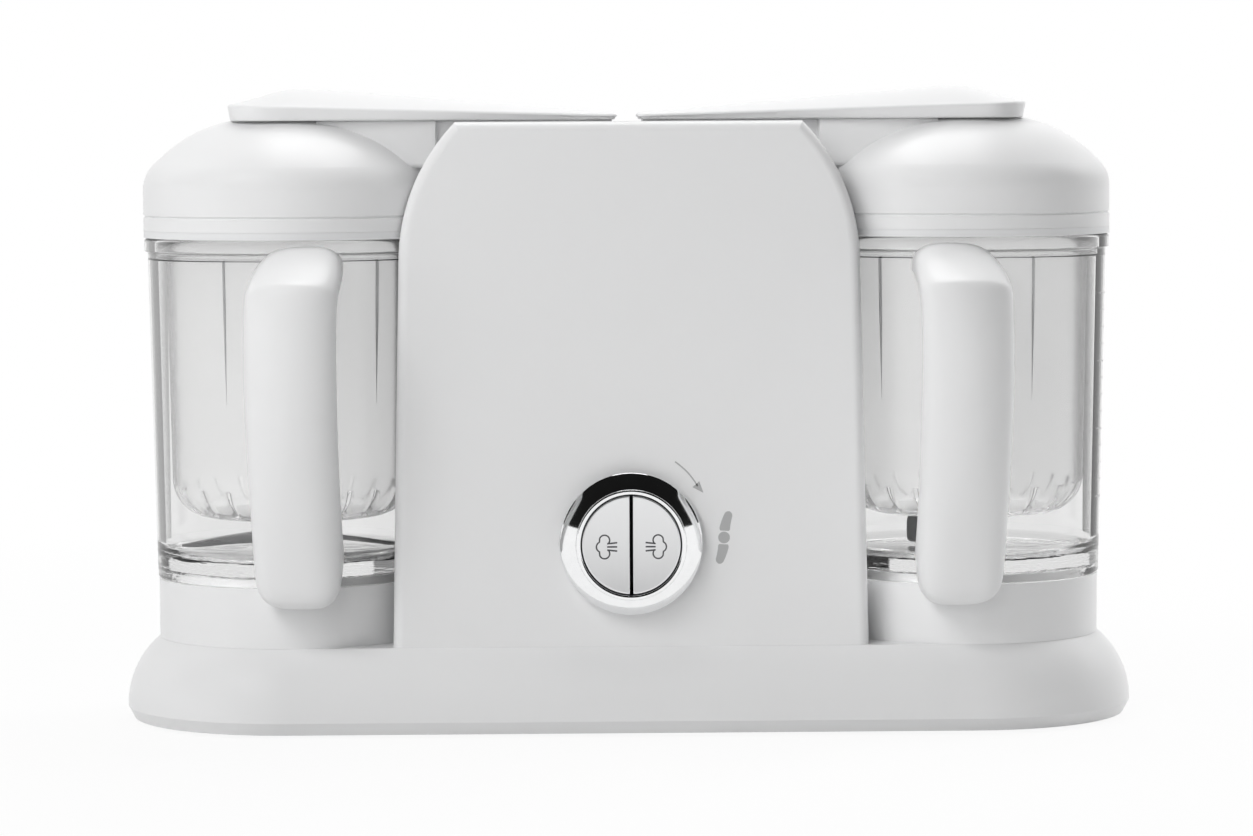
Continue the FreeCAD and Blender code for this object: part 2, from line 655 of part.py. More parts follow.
def make_driven_pulley(side, sign, level):
    bore = S.spindle_radius + S.fit
    corners = [(bore, level), *track(level, S.pulley_radius), (bore, level + S.pulley_width)]
    place(turned(f"{side}_driven_pulley", corners), S.bowl_offset * sign)


def make_drive_pulley():
    """Double pulley on the motor shaft, one track for each belt."""
    bore = S.motor_shaft + S.fit
    neck = S.drive_radius
    top = upper_belt + S.pulley_width
    corners = [(bore, S.belt_level), *track(S.belt_level, S.drive_radius),
               (neck, S.belt_level + S.pulley_width), (neck, upper_belt),
               *track(upper_belt, S.drive_radius), (bore, top)]
    place(turned("drive_pulley", corners))


def belt_loop(drawing, gap):
    """Outline of a belt round both pulleys, at a gap outside their tracks."""
    small, large = S.drive_radius + gap, S.pulley_radius + gap
    lean = (large - small) / S.bowl_offset
    level = root(dim(1) - lean * lean)
    near_x, near_y = -small * lean, small * level
    far_x, far_y = S.bowl_offset - large * lean, large * level
    loop(drawing, [(near_x, -near_y), (far_x, -far_y, large), (S.bowl_offset + large, 0, large),
                   (far_x, far_y), (near_x, near_y, small), (-small, 0, small)])


def make_belt(side, level, rotation):
    body = new_body(f"{side}_drive_belt")
    bottom = level + S.pulley_flange + S.belt_gap
    drawing = sketch(body, "loop", "XY_Plane", (0, 0, bottom))
    belt_loop(drawing, S.belt_gap + S.belt_thickness)
    belt_loop(drawing, S.belt_gap)
    extrude(drawing, S.pulley_width - S.pulley_flange * 2 - S.belt_gap * 2)
    place(body, rotation=rotation)


bracket_top = S.base_height + S.bracket_thickness
bearing_top = bracket_top + S.bearing_depth


def make_motor_bracket():
    """Disc on the base with the bearing boss for the motor shaft."""
    bore = S.motor_shaft + S.fit
    low = S.base_height - S.bearing_depth
    body = turned("motor_bracket", [
        (bore, low), (S.bearing_radius, low), (S.bearing_radius, S.base_height),
        (S.bracket_radius, S.base_height), (S.bracket_radius, bracket_top),
        (S.bearing_radius, bracket_top), (S.bearing_radius, bearing_top), (bore, bearing_top)])
    place(body)


def make_motor_housing():
    """Can standing on the bracket, closed above by the upper bearing."""
    inner = S.motor_radius - S.motor_wall
    top = bracket_top + S.motor_height
    bore = S.motor_shaft + S.fit
    roof = top - S.bearing_depth
    body = turned("motor_housing", [
        (bore, roof), (S.bearing_radius, roof), (S.bearing_radius, top - S.motor_wall),
        (inner, top - S.motor_wall), (inner, bracket_top), (S.motor_radius, bracket_top),
        (S.motor_radius, top), (bore, top)])
    place(body)


def make_motor_rotor():
    """Shaft with its laminated core, from the drive pulley up to the upper bearing."""
    core_foot = bracket_top + (S.motor_height - S.core_length) / 2
    core_top = core_foot + S.core_length
    shaft_top = bracket_top + S.motor_height - S.fit
    body = turned("motor_rotor", [
        (0, S.belt_level), (S.motor_shaft, S.belt_level), (S.motor_shaft, core_foot),
        (S.core_radius, core_foot), (S.core_radius, core_top), (S.motor_shaft, core_top),
        (S.motor_shaft, shaft_top), (0, shaft_top)])
    place(body)


# Tower

def shoulder(height):
    """Half width of the panels at a height on the shoulder's curve."""
    rise = height - waist_height
    return S.panel_waist - S.shoulder_curve + root(S.shoulder_curve * S.shoulder_curve - rise * rise)


def panel_outline(drawing, top):
    """Front outline of the tower up to a height: straight sides, then the curved shoulders."""
    width, waist, end = S.panel_foot, S.panel_waist, shoulder(top)
    loop(drawing, [(-width, S.base_height), (width, S.base_height),
                   (waist, waist_height, S.shoulder_curve), (end, top),
                   (-end, top, S.shoulder_curve), (-waist, waist_height)])
    return drawing


def outer_rim(feature, level):
    """Names of the edges of a feature's face at Y = level, without its lower edge."""
    names = []
    for number, edge in enumerate(feature.Shape.Edges, start=1):
        box = edge.BoundBox
        on_face = abs(box.YMin - level) < 1e-4 and abs(box.YMax - level) < 1e-4
        if on_face and box.ZMax > S.base_height.value + 1e-4:
            names.append(f"Edge{number}")
    return names


def panel_blank(name, front):
    """Shell of one tower panel: rounded outer edge, hollowed from inside below the deck."""
    body = new_body(name)
    outer = S.panel_face if front else -S.panel_face
    drawing = panel_outline(sketch(body, "outline", "XZ_Plane", (0, 0, outer)), panel_top)
    blank = extrude(drawing, S.panel_depth, backwards=front)
    doc.recompute()
    rounding = body.newObject("PartDesign::Fillet", f"{name}_rounding")
    rounding.Base = (blank, outer_rim(blank, -outer.value))
    bind(rounding, Radius=S.panel_round)
    inner = panel_inner if front else -panel_inner
    hollow = sketch(body, "hollow", "XZ_Plane", (0, 0, inner))
    low, high = S.base_height + S.panel_wall, deck_under - S.panel_wall
    side = shoulder(high) - S.panel_wall - S.panel_round
    box_loop(hollow, -side, side, low, high)
    extrude(hollow, S.panel_depth - S.panel_wall, "Pocket", backwards=front)
    return body


def board_posts():
    x = S.board_width / 2 - S.post_inset
    low, high = board_foot + S.post_inset, board_foot + S.board_height - S.post_inset
    return [(x * sx, z) for sx in (-1, 1) for z in (low, high)]


def carrier_posts():
    """Three posts round the knob, one straight below it."""
    wide, low = S.carrier_post * root(dim(0.75)), S.carrier_post / 2
    return [(dim(0), knob_height - S.carrier_post), (wide, knob_height + low), (-wide, knob_height + low)]


def make_front_panel():
    """Front shell with the bore for the knob, and posts for the board and the button carrier."""
    body = panel_blank("front_panel", True)
    inside = S.panel_face - S.panel_wall
    bore = ring(sketch(body, "knob_bore", "XZ_Plane", (0, 0, S.panel_face)), 0, knob_height,
                S.sleeve_radius + S.clearance)
    extrude(bore, S.panel_wall, "Pocket")
    posts = sketch(body, "board_posts", "XZ_Plane", (0, 0, inside))
    for x, z in board_posts():
        ring(posts, x, z, S.post_radius)
    extrude(posts, S.post_length, backwards=True)
    feet = sketch(body, "carrier_posts", "XZ_Plane", (0, 0, inside))
    for x, z in carrier_posts():
        ring(feet, x, z, S.post_radius)
    extrude(feet, S.carrier_drop - S.panel_wall - S.fit, backwards=True)
    place(body)


def make_rear_panel():
    """Rear shell with the hole for the cord gland."""
    body = panel_blank("rear_panel", False)
    hole = ring(sketch(body, "gland_hole", "XZ_Plane", (0, 0, -S.panel_face)), 0,
                S.base_height + S.gland_height, S.gland_radius + S.fit)
    extrude(hole, S.panel_wall, "Pocket", backwards=True)
    place(body)


def make_tower_body():
    """Middle of the tower: sides hollowed round each bowl, open inside from the base to the deck."""
    body = new_body("tower_body")
    depth = panel_inner - S.fit
    blank = panel_outline(sketch(body, "outline", "XZ_Plane"), deck_under - S.fit)
    extrude(blank, depth * 2, both_ways=True)
    hollows = sketch(body, "bowl_hollows", "XY_Plane", (0, 0, S.base_height))
    for _, sign, _ in SIDES:
        ring(hollows, S.bowl_offset * sign, 0, tower_hollow)
    extrude(hollows, deck_top, "Pocket", backwards=True)
    inside = sketch(body, "inside", "XY_Plane", (0, 0, S.base_height))
    radius, half = tower_hollow + S.wall, panel_inner - S.tower_web
    edge = S.bowl_offset - root(radius * radius - half * half)
    loop(inside, [(-edge, -half), (edge, -half, -radius), (edge, half), (-edge, half, -radius)])
    extrude(inside, deck_top, "Pocket", backwards=True)
    window = sketch(body, "window", "XZ_Plane")
    box_loop(window, -S.window_width, S.window_width, S.base_height, deck_under - S.wall)
    extrude(window, S.panel_face * 2, "Pocket", both_ways=True)
    place(body)


saddle_low = S.bridge_width + S.saddle_gap


def make_tower_deck():
    """Deck on the tower body with the two neck holes and the open-topped hinge saddles."""
    body = new_body("tower_deck")
    depth = panel_inner - S.fit
    edge = shoulder(deck_top) - S.fit
    drawing = sketch(body, "outline", "XY_Plane", (0, 0, deck_under))
    box_loop(drawing, -edge, edge, -depth, depth)
    extrude(drawing, S.deck_thickness)
    hollows = sketch(body, "bowl_hollows", "XY_Plane", (0, 0, deck_under))
    necks = sketch(body, "necks", "XY_Plane", (0, 0, deck_under))
    for _, sign, _ in SIDES:
        ring(hollows, S.bowl_offset * sign, 0, tower_hollow)
        ring(necks, S.tank_offset * sign, 0, S.neck_radius + S.fit)
    extrude(hollows, S.deck_thickness, "Pocket", backwards=True)
    extrude(necks, S.deck_thickness, "Pocket", backwards=True)
    posts = sketch(body, "saddles", "XY_Plane", (0, 0, deck_top - S.fit))
    half = S.saddle_length / 2
    for _, sign, _ in SIDES:
        x = S.hinge_offset * sign
        for y in (-saddle_low - S.saddle_width, saddle_low):
            box_loop(posts, x - half, x + half, y, y + S.saddle_width)
    extrude(posts, hinge_height + S.pin_radius - deck_top + S.fit)
    slots = sketch(body, "pin_slots", "XZ_Plane")
    width = S.pin_radius + S.fit
    for _, sign, _ in SIDES:
        x = S.hinge_offset * sign
        top = hinge_height + S.pin_radius * 2
        loop(slots, [(x - width, hinge_height, width), (x, hinge_height - width, width),
                     (x + width, hinge_height), (x + width, top), (x - width, top)])
    extrude(slots, (saddle_low + S.saddle_width) * 2, "Pocket", both_ways=True)
    place(body)


def make_control_board():
    """Board on the posts behind the front panel, with its relay and supply blocks."""
    body = new_body("control_board")
    seat = S.panel_face - S.panel_wall - S.post_length - S.fit
    board = sketch(body, "board", "XZ_Plane", (0, 0, seat))
    half = S.board_width / 2
    box_loop(board, -half, half, board_foot, board_foot + S.board_height)
    extrude(board, S.board_thickness, backwards=True)
    blocks = sketch(body, "blocks", "XZ_Plane", (0, 0, seat - S.board_thickness))
    across, up = S.block_width / 2, S.block_height / 2
    middle = board_foot + S.board_height / 2
    for sign in (-1, 1):
        x = S.block_offset * sign
        box_loop(blocks, x - across, x + across, middle - up, middle + up)
    extrude(blocks, S.block_depth, backwards=True)
    place(body)


def make_cord_gland():
    """Flanged bush in the rear panel; its bore takes the mains cord."""
    flange = S.gland_flange_depth
    nose = S.gland_bore + S.gland_nose
    body = turned("cord_gland", [
        (S.gland_bore, -S.gland_tail), (S.gland_radius, -S.gland_tail), (S.gland_radius, S.fit),
        (S.gland_flange, S.fit), (S.gland_flange, flange), (S.gland_radius, flange),
        (nose, S.gland_length), (S.gland_bore, S.gland_length)])
    place(body, 0, S.panel_face, S.base_height + S.gland_height, FACING_BACK)


# Controls, drawn with their own Z axis pointing at the viewer and the panel face at zero

button_radius = S.knob_bore - S.clearance - S.carrier_wall - S.clearance
carrier_front = S.knob_depth - S.clearance * 2
button_front = S.knob_depth - S.clearance
button_back = button_front - S.button_thickness
pad_top = S.button_travel - S.carrier_drop


def place_control(body):
    place(body, 0, -S.panel_face, knob_height, FACING_FRONT)


def make_mix_knob():
    """Ring knob with a rounded face, held in the panel by its sleeve and snap ring."""
    snap_front = -S.panel_wall - S.clearance
    snap_back = snap_front - S.snap_width
    body = turned("mix_knob", [
        (S.knob_bore, snap_back), (S.snap_radius, snap_back), (S.snap_radius, snap_front),
        (S.sleeve_radius, snap_front), (S.sleeve_radius, S.clearance), (S.knob_radius, S.clearance),
        (S.knob_radius, S.knob_side, S.knob_face_curve), (S.knob_bore + S.knob_lip, S.knob_depth),
        (S.knob_bore, S.knob_depth)])
    place_control(body)


def make_control_carrier():
    """Cup inside the knob that guides the buttons, on a plate fixed behind the panel."""
    outer = S.knob_bore - S.clearance
    inner = outer - S.carrier_wall
    front, back = -S.carrier_drop, -S.carrier_drop - S.carrier_plate
    body = turned("control_carrier", [
        (0, back), (S.carrier_flange, back), (S.carrier_flange, front), (outer, front),
        (outer, carrier_front), (inner, carrier_front), (inner, front), (0, front)])
    place_control(body)


def make_button(side, sign):
    """Half-moon cap with a stem that reaches back to its rubber pad."""
    body = new_body(f"{side}_button")
    edge = S.button_gap / 2
    end = root(button_radius * button_radius - edge * edge)
    cap = sketch(body, "cap", "XY_Plane", (0, 0, button_back))
    corners = [(edge, -end, button_radius), (button_radius, 0, button_radius), (edge, end)]
    if sign < 0:
        corners = [(-edge, end, button_radius), (-button_radius, 0, button_radius), (-edge, -end)]
    loop(cap, corners)
    extrude(cap, S.button_thickness)
    stem = ring(sketch(body, "stem", "XY_Plane", (0, 0, button_back)), S.stem_offset * sign, 0, S.stem_radius)
    extrude(stem, button_back - pad_top - S.clearance, backwards=True)
    place_control(body)


def make_button_pad(side, sign):
    """Rubber dome that pushes its button back out."""
    front = -S.carrier_drop
    body = turned(f"{side}_button_pad", [
        (0, front), (S.pad_radius, front), (S.stem_radius, pad_top), (0, pad_top)])
    place(body, S.stem_offset * sign, -S.panel_face, knob_height, FACING_FRONT)


def make_switches():
    """Two switch blocks on the back of the carrier plate."""
    blocks = []
    half = S.switch_size / 2
    front = S.carrier_drop + S.carrier_plate + S.fit - S.panel_face
    for side, sign, _ in SIDES:
        block = doc.addObject("Part::Box", f"switch_{side}")
        bind(block, Length=S.switch_size, Width=S.switch_depth, Height=S.switch_size)
        bind(block, Placement__Base__x=S.stem_offset * sign - half, Placement__Base__y=front,
             Placement__Base__z=knob_height - half)
        blocks.append(block)
    group("switches", blocks)


# Water tanks

def make_tank(side, sign):
    """Steel water tank hung under the deck, with its filling neck through the deck."""
    bottom, top = deck_under - S.fit - S.tank_depth, deck_under - S.fit
    inner, throat = S.tank_radius - S.tank_wall, S.neck_radius - S.tank_wall
    body = turned(f"{side}_water_tank", [
        (0, bottom), (S.tank_radius, bottom), (S.tank_radius, top), (S.neck_radius, top),
        (S.neck_radius, neck_top), (throat, neck_top), (throat, top - S.tank_wall),
        (inner, top - S.tank_wall), (inner, bottom + S.tank_wall), (0, bottom + S.tank_wall)])
    place(body, S.tank_offset * sign)


heater_top = deck_under - S.tank_depth - S.fit * 2
heater_foot = heater_top - S.heater_height


def make_heater(side, sign):
    """Heater disc with a raised ring, pressed against the tank's bottom."""
    inner, groove = S.heater_radius / 2, S.heater_height / 2
    body = turned(f"{side}_heater", [
        (0, heater_foot + groove), (inner, heater_foot + groove), (inner, heater_foot),
        (S.heater_radius, heater_foot), (S.heater_radius, heater_top), (0, heater_top)])
    place(body, S.tank_offset * sign)


def make_thermostats():
    """Cut-out discs that sit in the hollow under each heater."""
    top = heater_foot + S.heater_height / 2 - S.fit
    discs = [cylinder(f"thermostat_{side}", S.thermostat_radius, S.thermostat_height,
                      S.tank_offset * sign, 0, top - S.thermostat_height) for side, sign, _ in SIDES]
    group("thermostats", discs)


# Bowls, blades and baskets

rim_foot = rim_height - S.rim_depth
bowl_inside_foot = S.bowl_foot_radius - S.bowl_wall
mouth_radius = S.bowl_top_radius - S.bowl_wall


def make_bowl(side, sign):
    """Clear bowl: foot ring, floor with the tube for the drive dog, tapered wall, beaded rim."""
    ring_inside = S.spigot_radius + S.clearance
    under = bowl_foot + S.foot_ring
    bore = S.chimney_radius - S.chimney_wall
    bevel = S.rim_bevel
    body = turned(f"{side}_bowl", [
        (ring_inside, bowl_foot), (S.bowl_foot_radius, bowl_foot), (S.bowl_top_radius, rim_foot),
        (S.rim_radius, rim_foot + bevel), (S.rim_radius, rim_height - bevel),
        (S.rim_radius - bevel, rim_height), (mouth_radius, rim_height),
        (mouth_radius, ledge_height), (mouth_radius - S.ledge_width, ledge_height),
        (bowl_inside_foot, bowl_floor_top + S.floor_round, -S.floor_round),
        (bowl_inside_foot - S.floor_round, bowl_floor_top), (S.chimney_radius, bowl_floor_top),
        (S.chimney_radius, chimney_top), (bore, chimney_top), (bore, under), (ring_inside, under)])
    place(body, S.bowl_offset * sign)


def edges_leaving(feature, level):
    """Names of a feature's edges that start at Y = level and run away from it."""
    names = []
    for number, edge in enumerate(feature.Shape.Edges, start=1):
        box = edge.BoundBox
        if abs(box.YMin - level) < 1e-4 and box.YLength > 1e-4:
            names.append(f"Edge{number}")
    return names


def make_handle(side, sign):
    """Handle in front of the bowl: side profile cut to its front outline and to the bowl's wall."""
    body = new_body(f"{side}_handle")
    root_y = -bowl_inside_foot
    front, inside = -S.handle_reach, S.handle_thickness - S.handle_reach
    bend_z = handle_top - S.handle_bend
    drop = bend_z - handle_foot
    toe = S.handle_sweep - S.handle_reach - root(S.handle_sweep * S.handle_sweep - drop * drop)
    inner_bend = S.handle_bend - S.handle_thickness
    inner_sweep = S.handle_sweep - S.handle_thickness
    heel_z = handle_foot + S.handle_heel
    heel_rise = bend_z - heel_z
    heel = S.handle_sweep - S.handle_reach - root(inner_sweep * inner_sweep - heel_rise * heel_rise)
    side_view = sketch(body, "side", "YZ_Plane")
    loop(side_view, [
        (root_y, handle_top), (front + S.handle_bend, handle_top, S.handle_bend),
        (front, bend_z, S.handle_sweep), (toe, handle_foot), (root_y, handle_foot),
        (root_y, heel_z), (heel, heel_z, -inner_sweep), (inside, bend_z, -inner_bend),
        (inside + inner_bend, handle_top - S.handle_thickness), (root_y, handle_top - S.handle_thickness)])
    extrude(side_view, S.handle_width, both_ways=True)
    wide, narrow, corner = S.handle_width / 2, S.handle_tip_width / 2, S.handle_corner
    beyond = S.handle_width
    front_view = sketch(body, "front", "XZ_Plane", (0, 0, S.handle_reach))
    box_loop(front_view, -beyond, beyond, handle_foot - beyond, handle_top + beyond)
    loop(front_view, [
        (corner - narrow, handle_foot), (narrow - corner, handle_foot, corner),
        (narrow, handle_foot + corner), (wide, bend_z), (wide, handle_top - corner, corner),
        (wide - corner, handle_top), (corner - wide, handle_top, corner),
        (-wide, handle_top - corner), (-wide, bend_z), (-narrow, handle_foot + corner, corner)])
    extrude(front_view, S.handle_reach, "Pocket")
    seat = sketch(body, "bowl_seat", "XZ_Plane")
    foot_radius = S.bowl_foot_radius + S.fit
    loop(seat, [
        (0, handle_foot - beyond), (foot_radius + S.handle_ease, handle_foot - beyond),
        (foot_radius + S.handle_ease, bowl_foot), (foot_radius, bowl_foot),
        (S.bowl_top_radius + S.fit, rim_foot - S.fit), (S.rim_radius + S.fit, rim_foot - S.fit),
        (S.rim_radius + S.fit, handle_top + beyond), (0, handle_top + beyond)])
    grip = turn(seat, "Groove")
    doc.recompute()
    rounding = body.newObject("PartDesign::Fillet", f"{side}_handle_rounding")
    rounding.Base = (grip, edges_leaving(grip, front.value))
    bind(rounding, Radius=S.handle_round)
    place(body, S.bowl_offset * sign)
    bind(body, Placement__Rotation__Yaw=S.handle_turn * -sign)


def make_blade_seal(side, sign):
    inner, outer = S.chimney_radius + S.fit, S.blade_hub_radius
    top = bowl_floor_top + S.seal_height
    body = turned(f"{side}_blade_seal", [
        (inner, bowl_floor_top), (outer, bowl_floor_top), (outer, top), (inner, top)])
    place(body, S.bowl_offset * sign)


def place_blade(body, sign):
    """The two blades stand a sixth of a turn apart, as the six-sided dogs allow."""
    place(body, S.bowl_offset * sign, rotation=UPRIGHT if sign < 0 else SIXTH_TURN)


def make_blade_hub(side, sign):
    """Cap over the bowl's tube, with the six-sided socket that takes the drive dog."""
    inner = S.chimney_radius + S.clearance
    roof = chimney_top + S.clearance
    bevel = S.hub_roof
    body = turned(f"{side}_blade_hub", [
        (inner, blade_hub_foot), (S.blade_hub_radius, blade_hub_foot),
        (S.blade_hub_radius, blade_hub_top - bevel), (S.blade_hub_radius - bevel, blade_hub_top),
        (0, blade_hub_top), (0, roof), (inner, roof)])
    socket = six_sides(sketch(body, "socket", "XY_Plane", (0, 0, roof)), S.dog_radius + S.clearance)
    extrude(socket, blade_hub_top - S.hub_roof - roof, "Pocket", backwards=True)
    place_blade(body, sign)


def make_blade_wings(side, sign):
    """Steel blade: a ring on the hub with two swept wings."""
    body = new_body(f"{side}_blade_wings")
    level = blade_hub_foot + S.blade_lift
    disc = sketch(body, "ring", "XY_Plane", (0, 0, level))
    ring(disc, 0, 0, S.blade_ring)
    ring(disc, 0, 0, S.blade_hub_radius + S.fit)
    extrude(disc, S.blade_thickness)
    wing = sketch(body, "wing", "XY_Plane", (0, 0, level))
    start = (S.blade_ring * 3 + S.blade_hub_radius) / 4
    roots = [(cosine(dim(angle)) * start, sine(dim(angle)) * start) for angle in WING_ROOT]
    sweep = S.blade_reach * WING_SWEEP
    loop(wing, [(*roots[0], sweep), (S.blade_reach, start / 2, -S.blade_reach), roots[2], roots[1]])
    swept = extrude(wing, S.blade_thickness)
    pattern(swept, 2)
    place_blade(body, sign)


def make_basket(side, sign):
    """Steam basket: rim on the bowl's ledge, rounded bottom with a ring of slots, four ribs."""
    w = S.basket_wall
    rim_low = ledge_height + S.clearance
    rim_out = mouth_radius - S.clearance
    rim_in = rim_out - w
    flat = S.basket_foot_radius - S.basket_round
    turn_z = basket_bottom + S.basket_round
    body = turned(f"{side}_basket", [
        (0, basket_bottom), (flat, basket_bottom, S.basket_round), (S.basket_foot_radius, turn_z),
        (S.basket_top_radius, rim_low), (rim_out, rim_low), (rim_out, rim_low + S.basket_rim),
        (rim_in, rim_low + S.basket_rim), (rim_in, rim_low + w), (S.basket_top_radius - w, rim_low + w),
        (S.basket_foot_radius - w, turn_z, w - S.basket_round), (flat, basket_bottom + w),
        (0, basket_bottom + w)])
    slots = sketch(body, "slot", "XY_Plane", (0, 0, basket_bottom))
    half = S.slot_width / 2
    box_loop(slots, S.slot_start, S.slot_start + S.slot_length, -half, half)
    pattern(extrude(slots, S.slot_rise, "Pocket", backwards=True), STEAM_SLOTS)
    rib_top, rib_low = rim_low + w / 2, rim_low - S.rib_length
    across, along = sine(S.rib_angle), cosine(S.rib_angle)
    radius = S.basket_foot_radius - w / 2
    ribs = sketch(body, "ribs", "XY_Plane", (0, 0, rib_low))
    for sx in (-1, 1):
        for sy in (-1, 1):
            x, y = across * radius * sx, along * radius * sy
            ring(ribs, x, y, S.rib_depth + w / 2)
    extrude(ribs, rib_top - rib_low)
    place(body, S.bowl_offset * sign)


# Lids, drawn for the right-hand bowl

def lid_section(inset, top):
    """Upper corners of the dome's profile, inset from its outside, up to a flat top."""
    corner, crown = S.lid_corner - inset, S.lid_crown - inset
    break_r = lid_corner_r + cosine(S.lid_break) * corner
    break_z = lid_shoulder + sine(S.lid_break) * corner
    rise = top - crown_z
    top_r = crown_r + root(crown * crown - rise * rise)
    return [(S.lid_radius - inset, lid_shoulder, corner), (break_r, break_z, crown), (top_r, top)]


def make_lid_dome(side, sign, rotation):
    """Domed lid with its seam line, the shelf for the gasket and the steam port to the neck."""
    inner = S.lid_radius - S.wall
    shelf = inner - S.gasket_width
    gasket_top = lid_foot + S.gasket_height - S.lid_gap + S.clearance
    shelf_top = gasket_top + S.gasket_shelf
    roof = lid_section(S.wall, lid_top - S.wall)
    inside = [(roof[2][0], roof[2][1], -roof[1][2]), (roof[1][0], roof[1][1], -roof[0][2]), roof[0][:2]]
    body = turned(f"{side}_lid_dome", [
        (inner, lid_foot), (S.lid_radius, lid_foot), (S.lid_radius, seam_height - S.seam_depth),
        (S.lid_radius - S.seam_depth, seam_height), (S.lid_radius, seam_height + S.seam_depth),
        *lid_section(dim(0), lid_top), (0, lid_top), (0, lid_top - S.wall), *inside,
        (inner, shelf_top), (shelf, shelf_top), (shelf, gasket_top), (inner, gasket_top)])
    port = sketch(body, "steam_port", "YZ_Plane")
    half = S.port_width / 2
    box_loop(port, -half, half, port_foot, port_foot + S.port_height)
    extrude(port, S.lid_radius, "Pocket")
    place(body, S.bowl_offset * sign, rotation=rotation)


def make_lid_gasket(side, sign):
    """Seal under the lid: a bead that shows between lid and bowl, and a lip inside the lid."""
    outer, inner = S.lid_radius - S.wall - S.fit, S.lid_radius - S.wall - S.gasket_width
    foot, bead_top = rim_height + S.clearance, lid_foot - S.fit
    body = turned(f"{side}_lid_gasket", [
        (inner, foot), (S.lid_radius, foot), (S.lid_radius, bead_top), (outer, bead_top),
        (outer, foot + S.gasket_height), (inner, foot + S.gasket_height)])
    place(body, S.bowl_offset * sign)


def make_lid_bridge(side, rotation):
    """Hollow neck from the dome over the tank to the hinge barrel."""
    body = new_body(f"{side}_lid_bridge")
    half, top = S.bridge_width, lid_top
    block = sketch(body, "block", "XY_Plane", (0, 0, bridge_floor))
    box_loop(block, S.bridge_inner, S.bowl_offset, -half, half)
    extrude(block, top - bridge_floor)
    barrel = ring(sketch(body, "barrel", "XZ_Plane"), S.hinge_offset, hinge_height, S.barrel_radius)
    extrude(barrel, half * 2, both_ways=True)
    web = sketch(body, "web", "XZ_Plane")
    rise = S.hinge_web / 2
    box_loop(web, S.hinge_offset, S.bridge_inner + S.bridge_wall, hinge_height - rise, hinge_height + rise)
    extrude(web, half * 2, both_ways=True)
    duct = sketch(body, "duct", "XY_Plane", (0, 0, bridge_floor + S.bridge_wall))
    wall = S.bridge_wall
    box_loop(duct, S.bridge_inner + wall, S.bowl_offset + wall, wall - half, half - wall)
    extrude(duct, top - bridge_floor - wall * 2, "Pocket", backwards=True)
    hole = ring(sketch(body, "steam_hole", "XY_Plane", (0, 0, bridge_floor)), S.tank_offset, 0, S.steam_hole)
    extrude(hole, wall, "Pocket", backwards=True)
    bore = ring(sketch(body, "pin_bore", "XZ_Plane"), S.hinge_offset, hinge_height, S.pin_radius + S.fit)
    extrude(bore, half * 2, "Pocket", both_ways=True)
    dome = sketch(body, "dome_seat", "XZ_Plane", (S.bowl_offset, 0, 0))
    outside = lid_section(-S.fit, lid_top + S.fit)
    loop(dome, [(0, lid_foot), (S.lid_radius + S.fit, lid_foot), *outside, (0, lid_top + S.fit)])
    turn(dome, "Groove")
    place(body, rotation=rotation)


def make_tank_seal(side, sign):
    """Silicone ring under the neck that closes the filling neck of the tank."""
    outer, inner = S.neck_radius + S.tank_seal_width / 2, S.neck_radius - S.tank_seal_width
    foot, top = neck_top + S.clearance, bridge_floor - S.fit
    body = turned(f"{side}_tank_seal", [(inner, foot), (outer, foot), (outer, top), (inner, top)])
    place(body, S.tank_offset * sign)


def make_hinge_pin(side, sign):
    length = (saddle_low + S.saddle_width) * 2
    pin = doc.addObject("Part::Cylinder", f"{side}_hinge_pin")
    pin.Label = f"{side}_hinge_pin"
    bind(pin, Radius=S.pin_radius, Height=length)
    place(pin, S.hinge_offset * sign, length / 2, hinge_height, FACING_FRONT)


def arm_section(body, name, x, width, rim, crown):
    """Cross-section of the arm at a distance from the middle: flat below, crowned above."""
    drawing = sketch(body, name, "YZ_Plane", (0, 0, x))
    radius = (width * width + crown * crown) / (crown * 2)
    edge, top = arm_under + rim, arm_under + rim + crown
    loop(drawing, [(-width, arm_under), (width, arm_under), (width, edge, radius), (0, top, radius),
                   (-width, edge)])
    return drawing


def make_lid_arm(side, rotation):
    """Wedge-shaped lever arm: thin at the hinge, highest over the bowl axis, sloped at its end."""
    body = new_body(f"{side}_lid_arm")
    tip = arm_section(body, "tip", S.arm_tip, S.arm_tip_width, S.arm_tip_rim, S.arm_tip_crown)
    ridge = arm_section(body, "ridge", S.arm_ridge, S.arm_width, S.arm_rim, S.arm_crown)
    ridge_again = arm_section(body, "ridge_again", S.arm_ridge, S.arm_width, S.arm_rim, S.arm_crown)
    end = arm_section(body, "end", S.arm_end, S.arm_width, S.arm_rim, S.arm_end_crown)
    for first, last in ((tip, ridge), (ridge_again, end)):
        wedge = body.newObject("PartDesign::AdditiveLoft", f"{first.Name}_loft")
        wedge.Profile = first
        wedge.Sections = [last]
        wedge.Ruled = True
    corner, half, end_x = S.arm_corner, S.arm_width, S.arm_end
    corners = sketch(body, "corners", "XY_Plane", (0, 0, arm_under))
    for turn_way in (1, -1):
        edge = half * turn_way
        inner, outer = edge - corner * turn_way, edge + corner * turn_way
        loop(corners, [(end_x - corner, edge, corner * -turn_way), (end_x, inner), (end_x + corner, inner),
                       (end_x + corner, outer), (end_x - corner, outer)])
    extrude(corners, S.arm_rim + S.arm_crown, "Pocket", backwards=True)
    place(body, rotation=rotation)


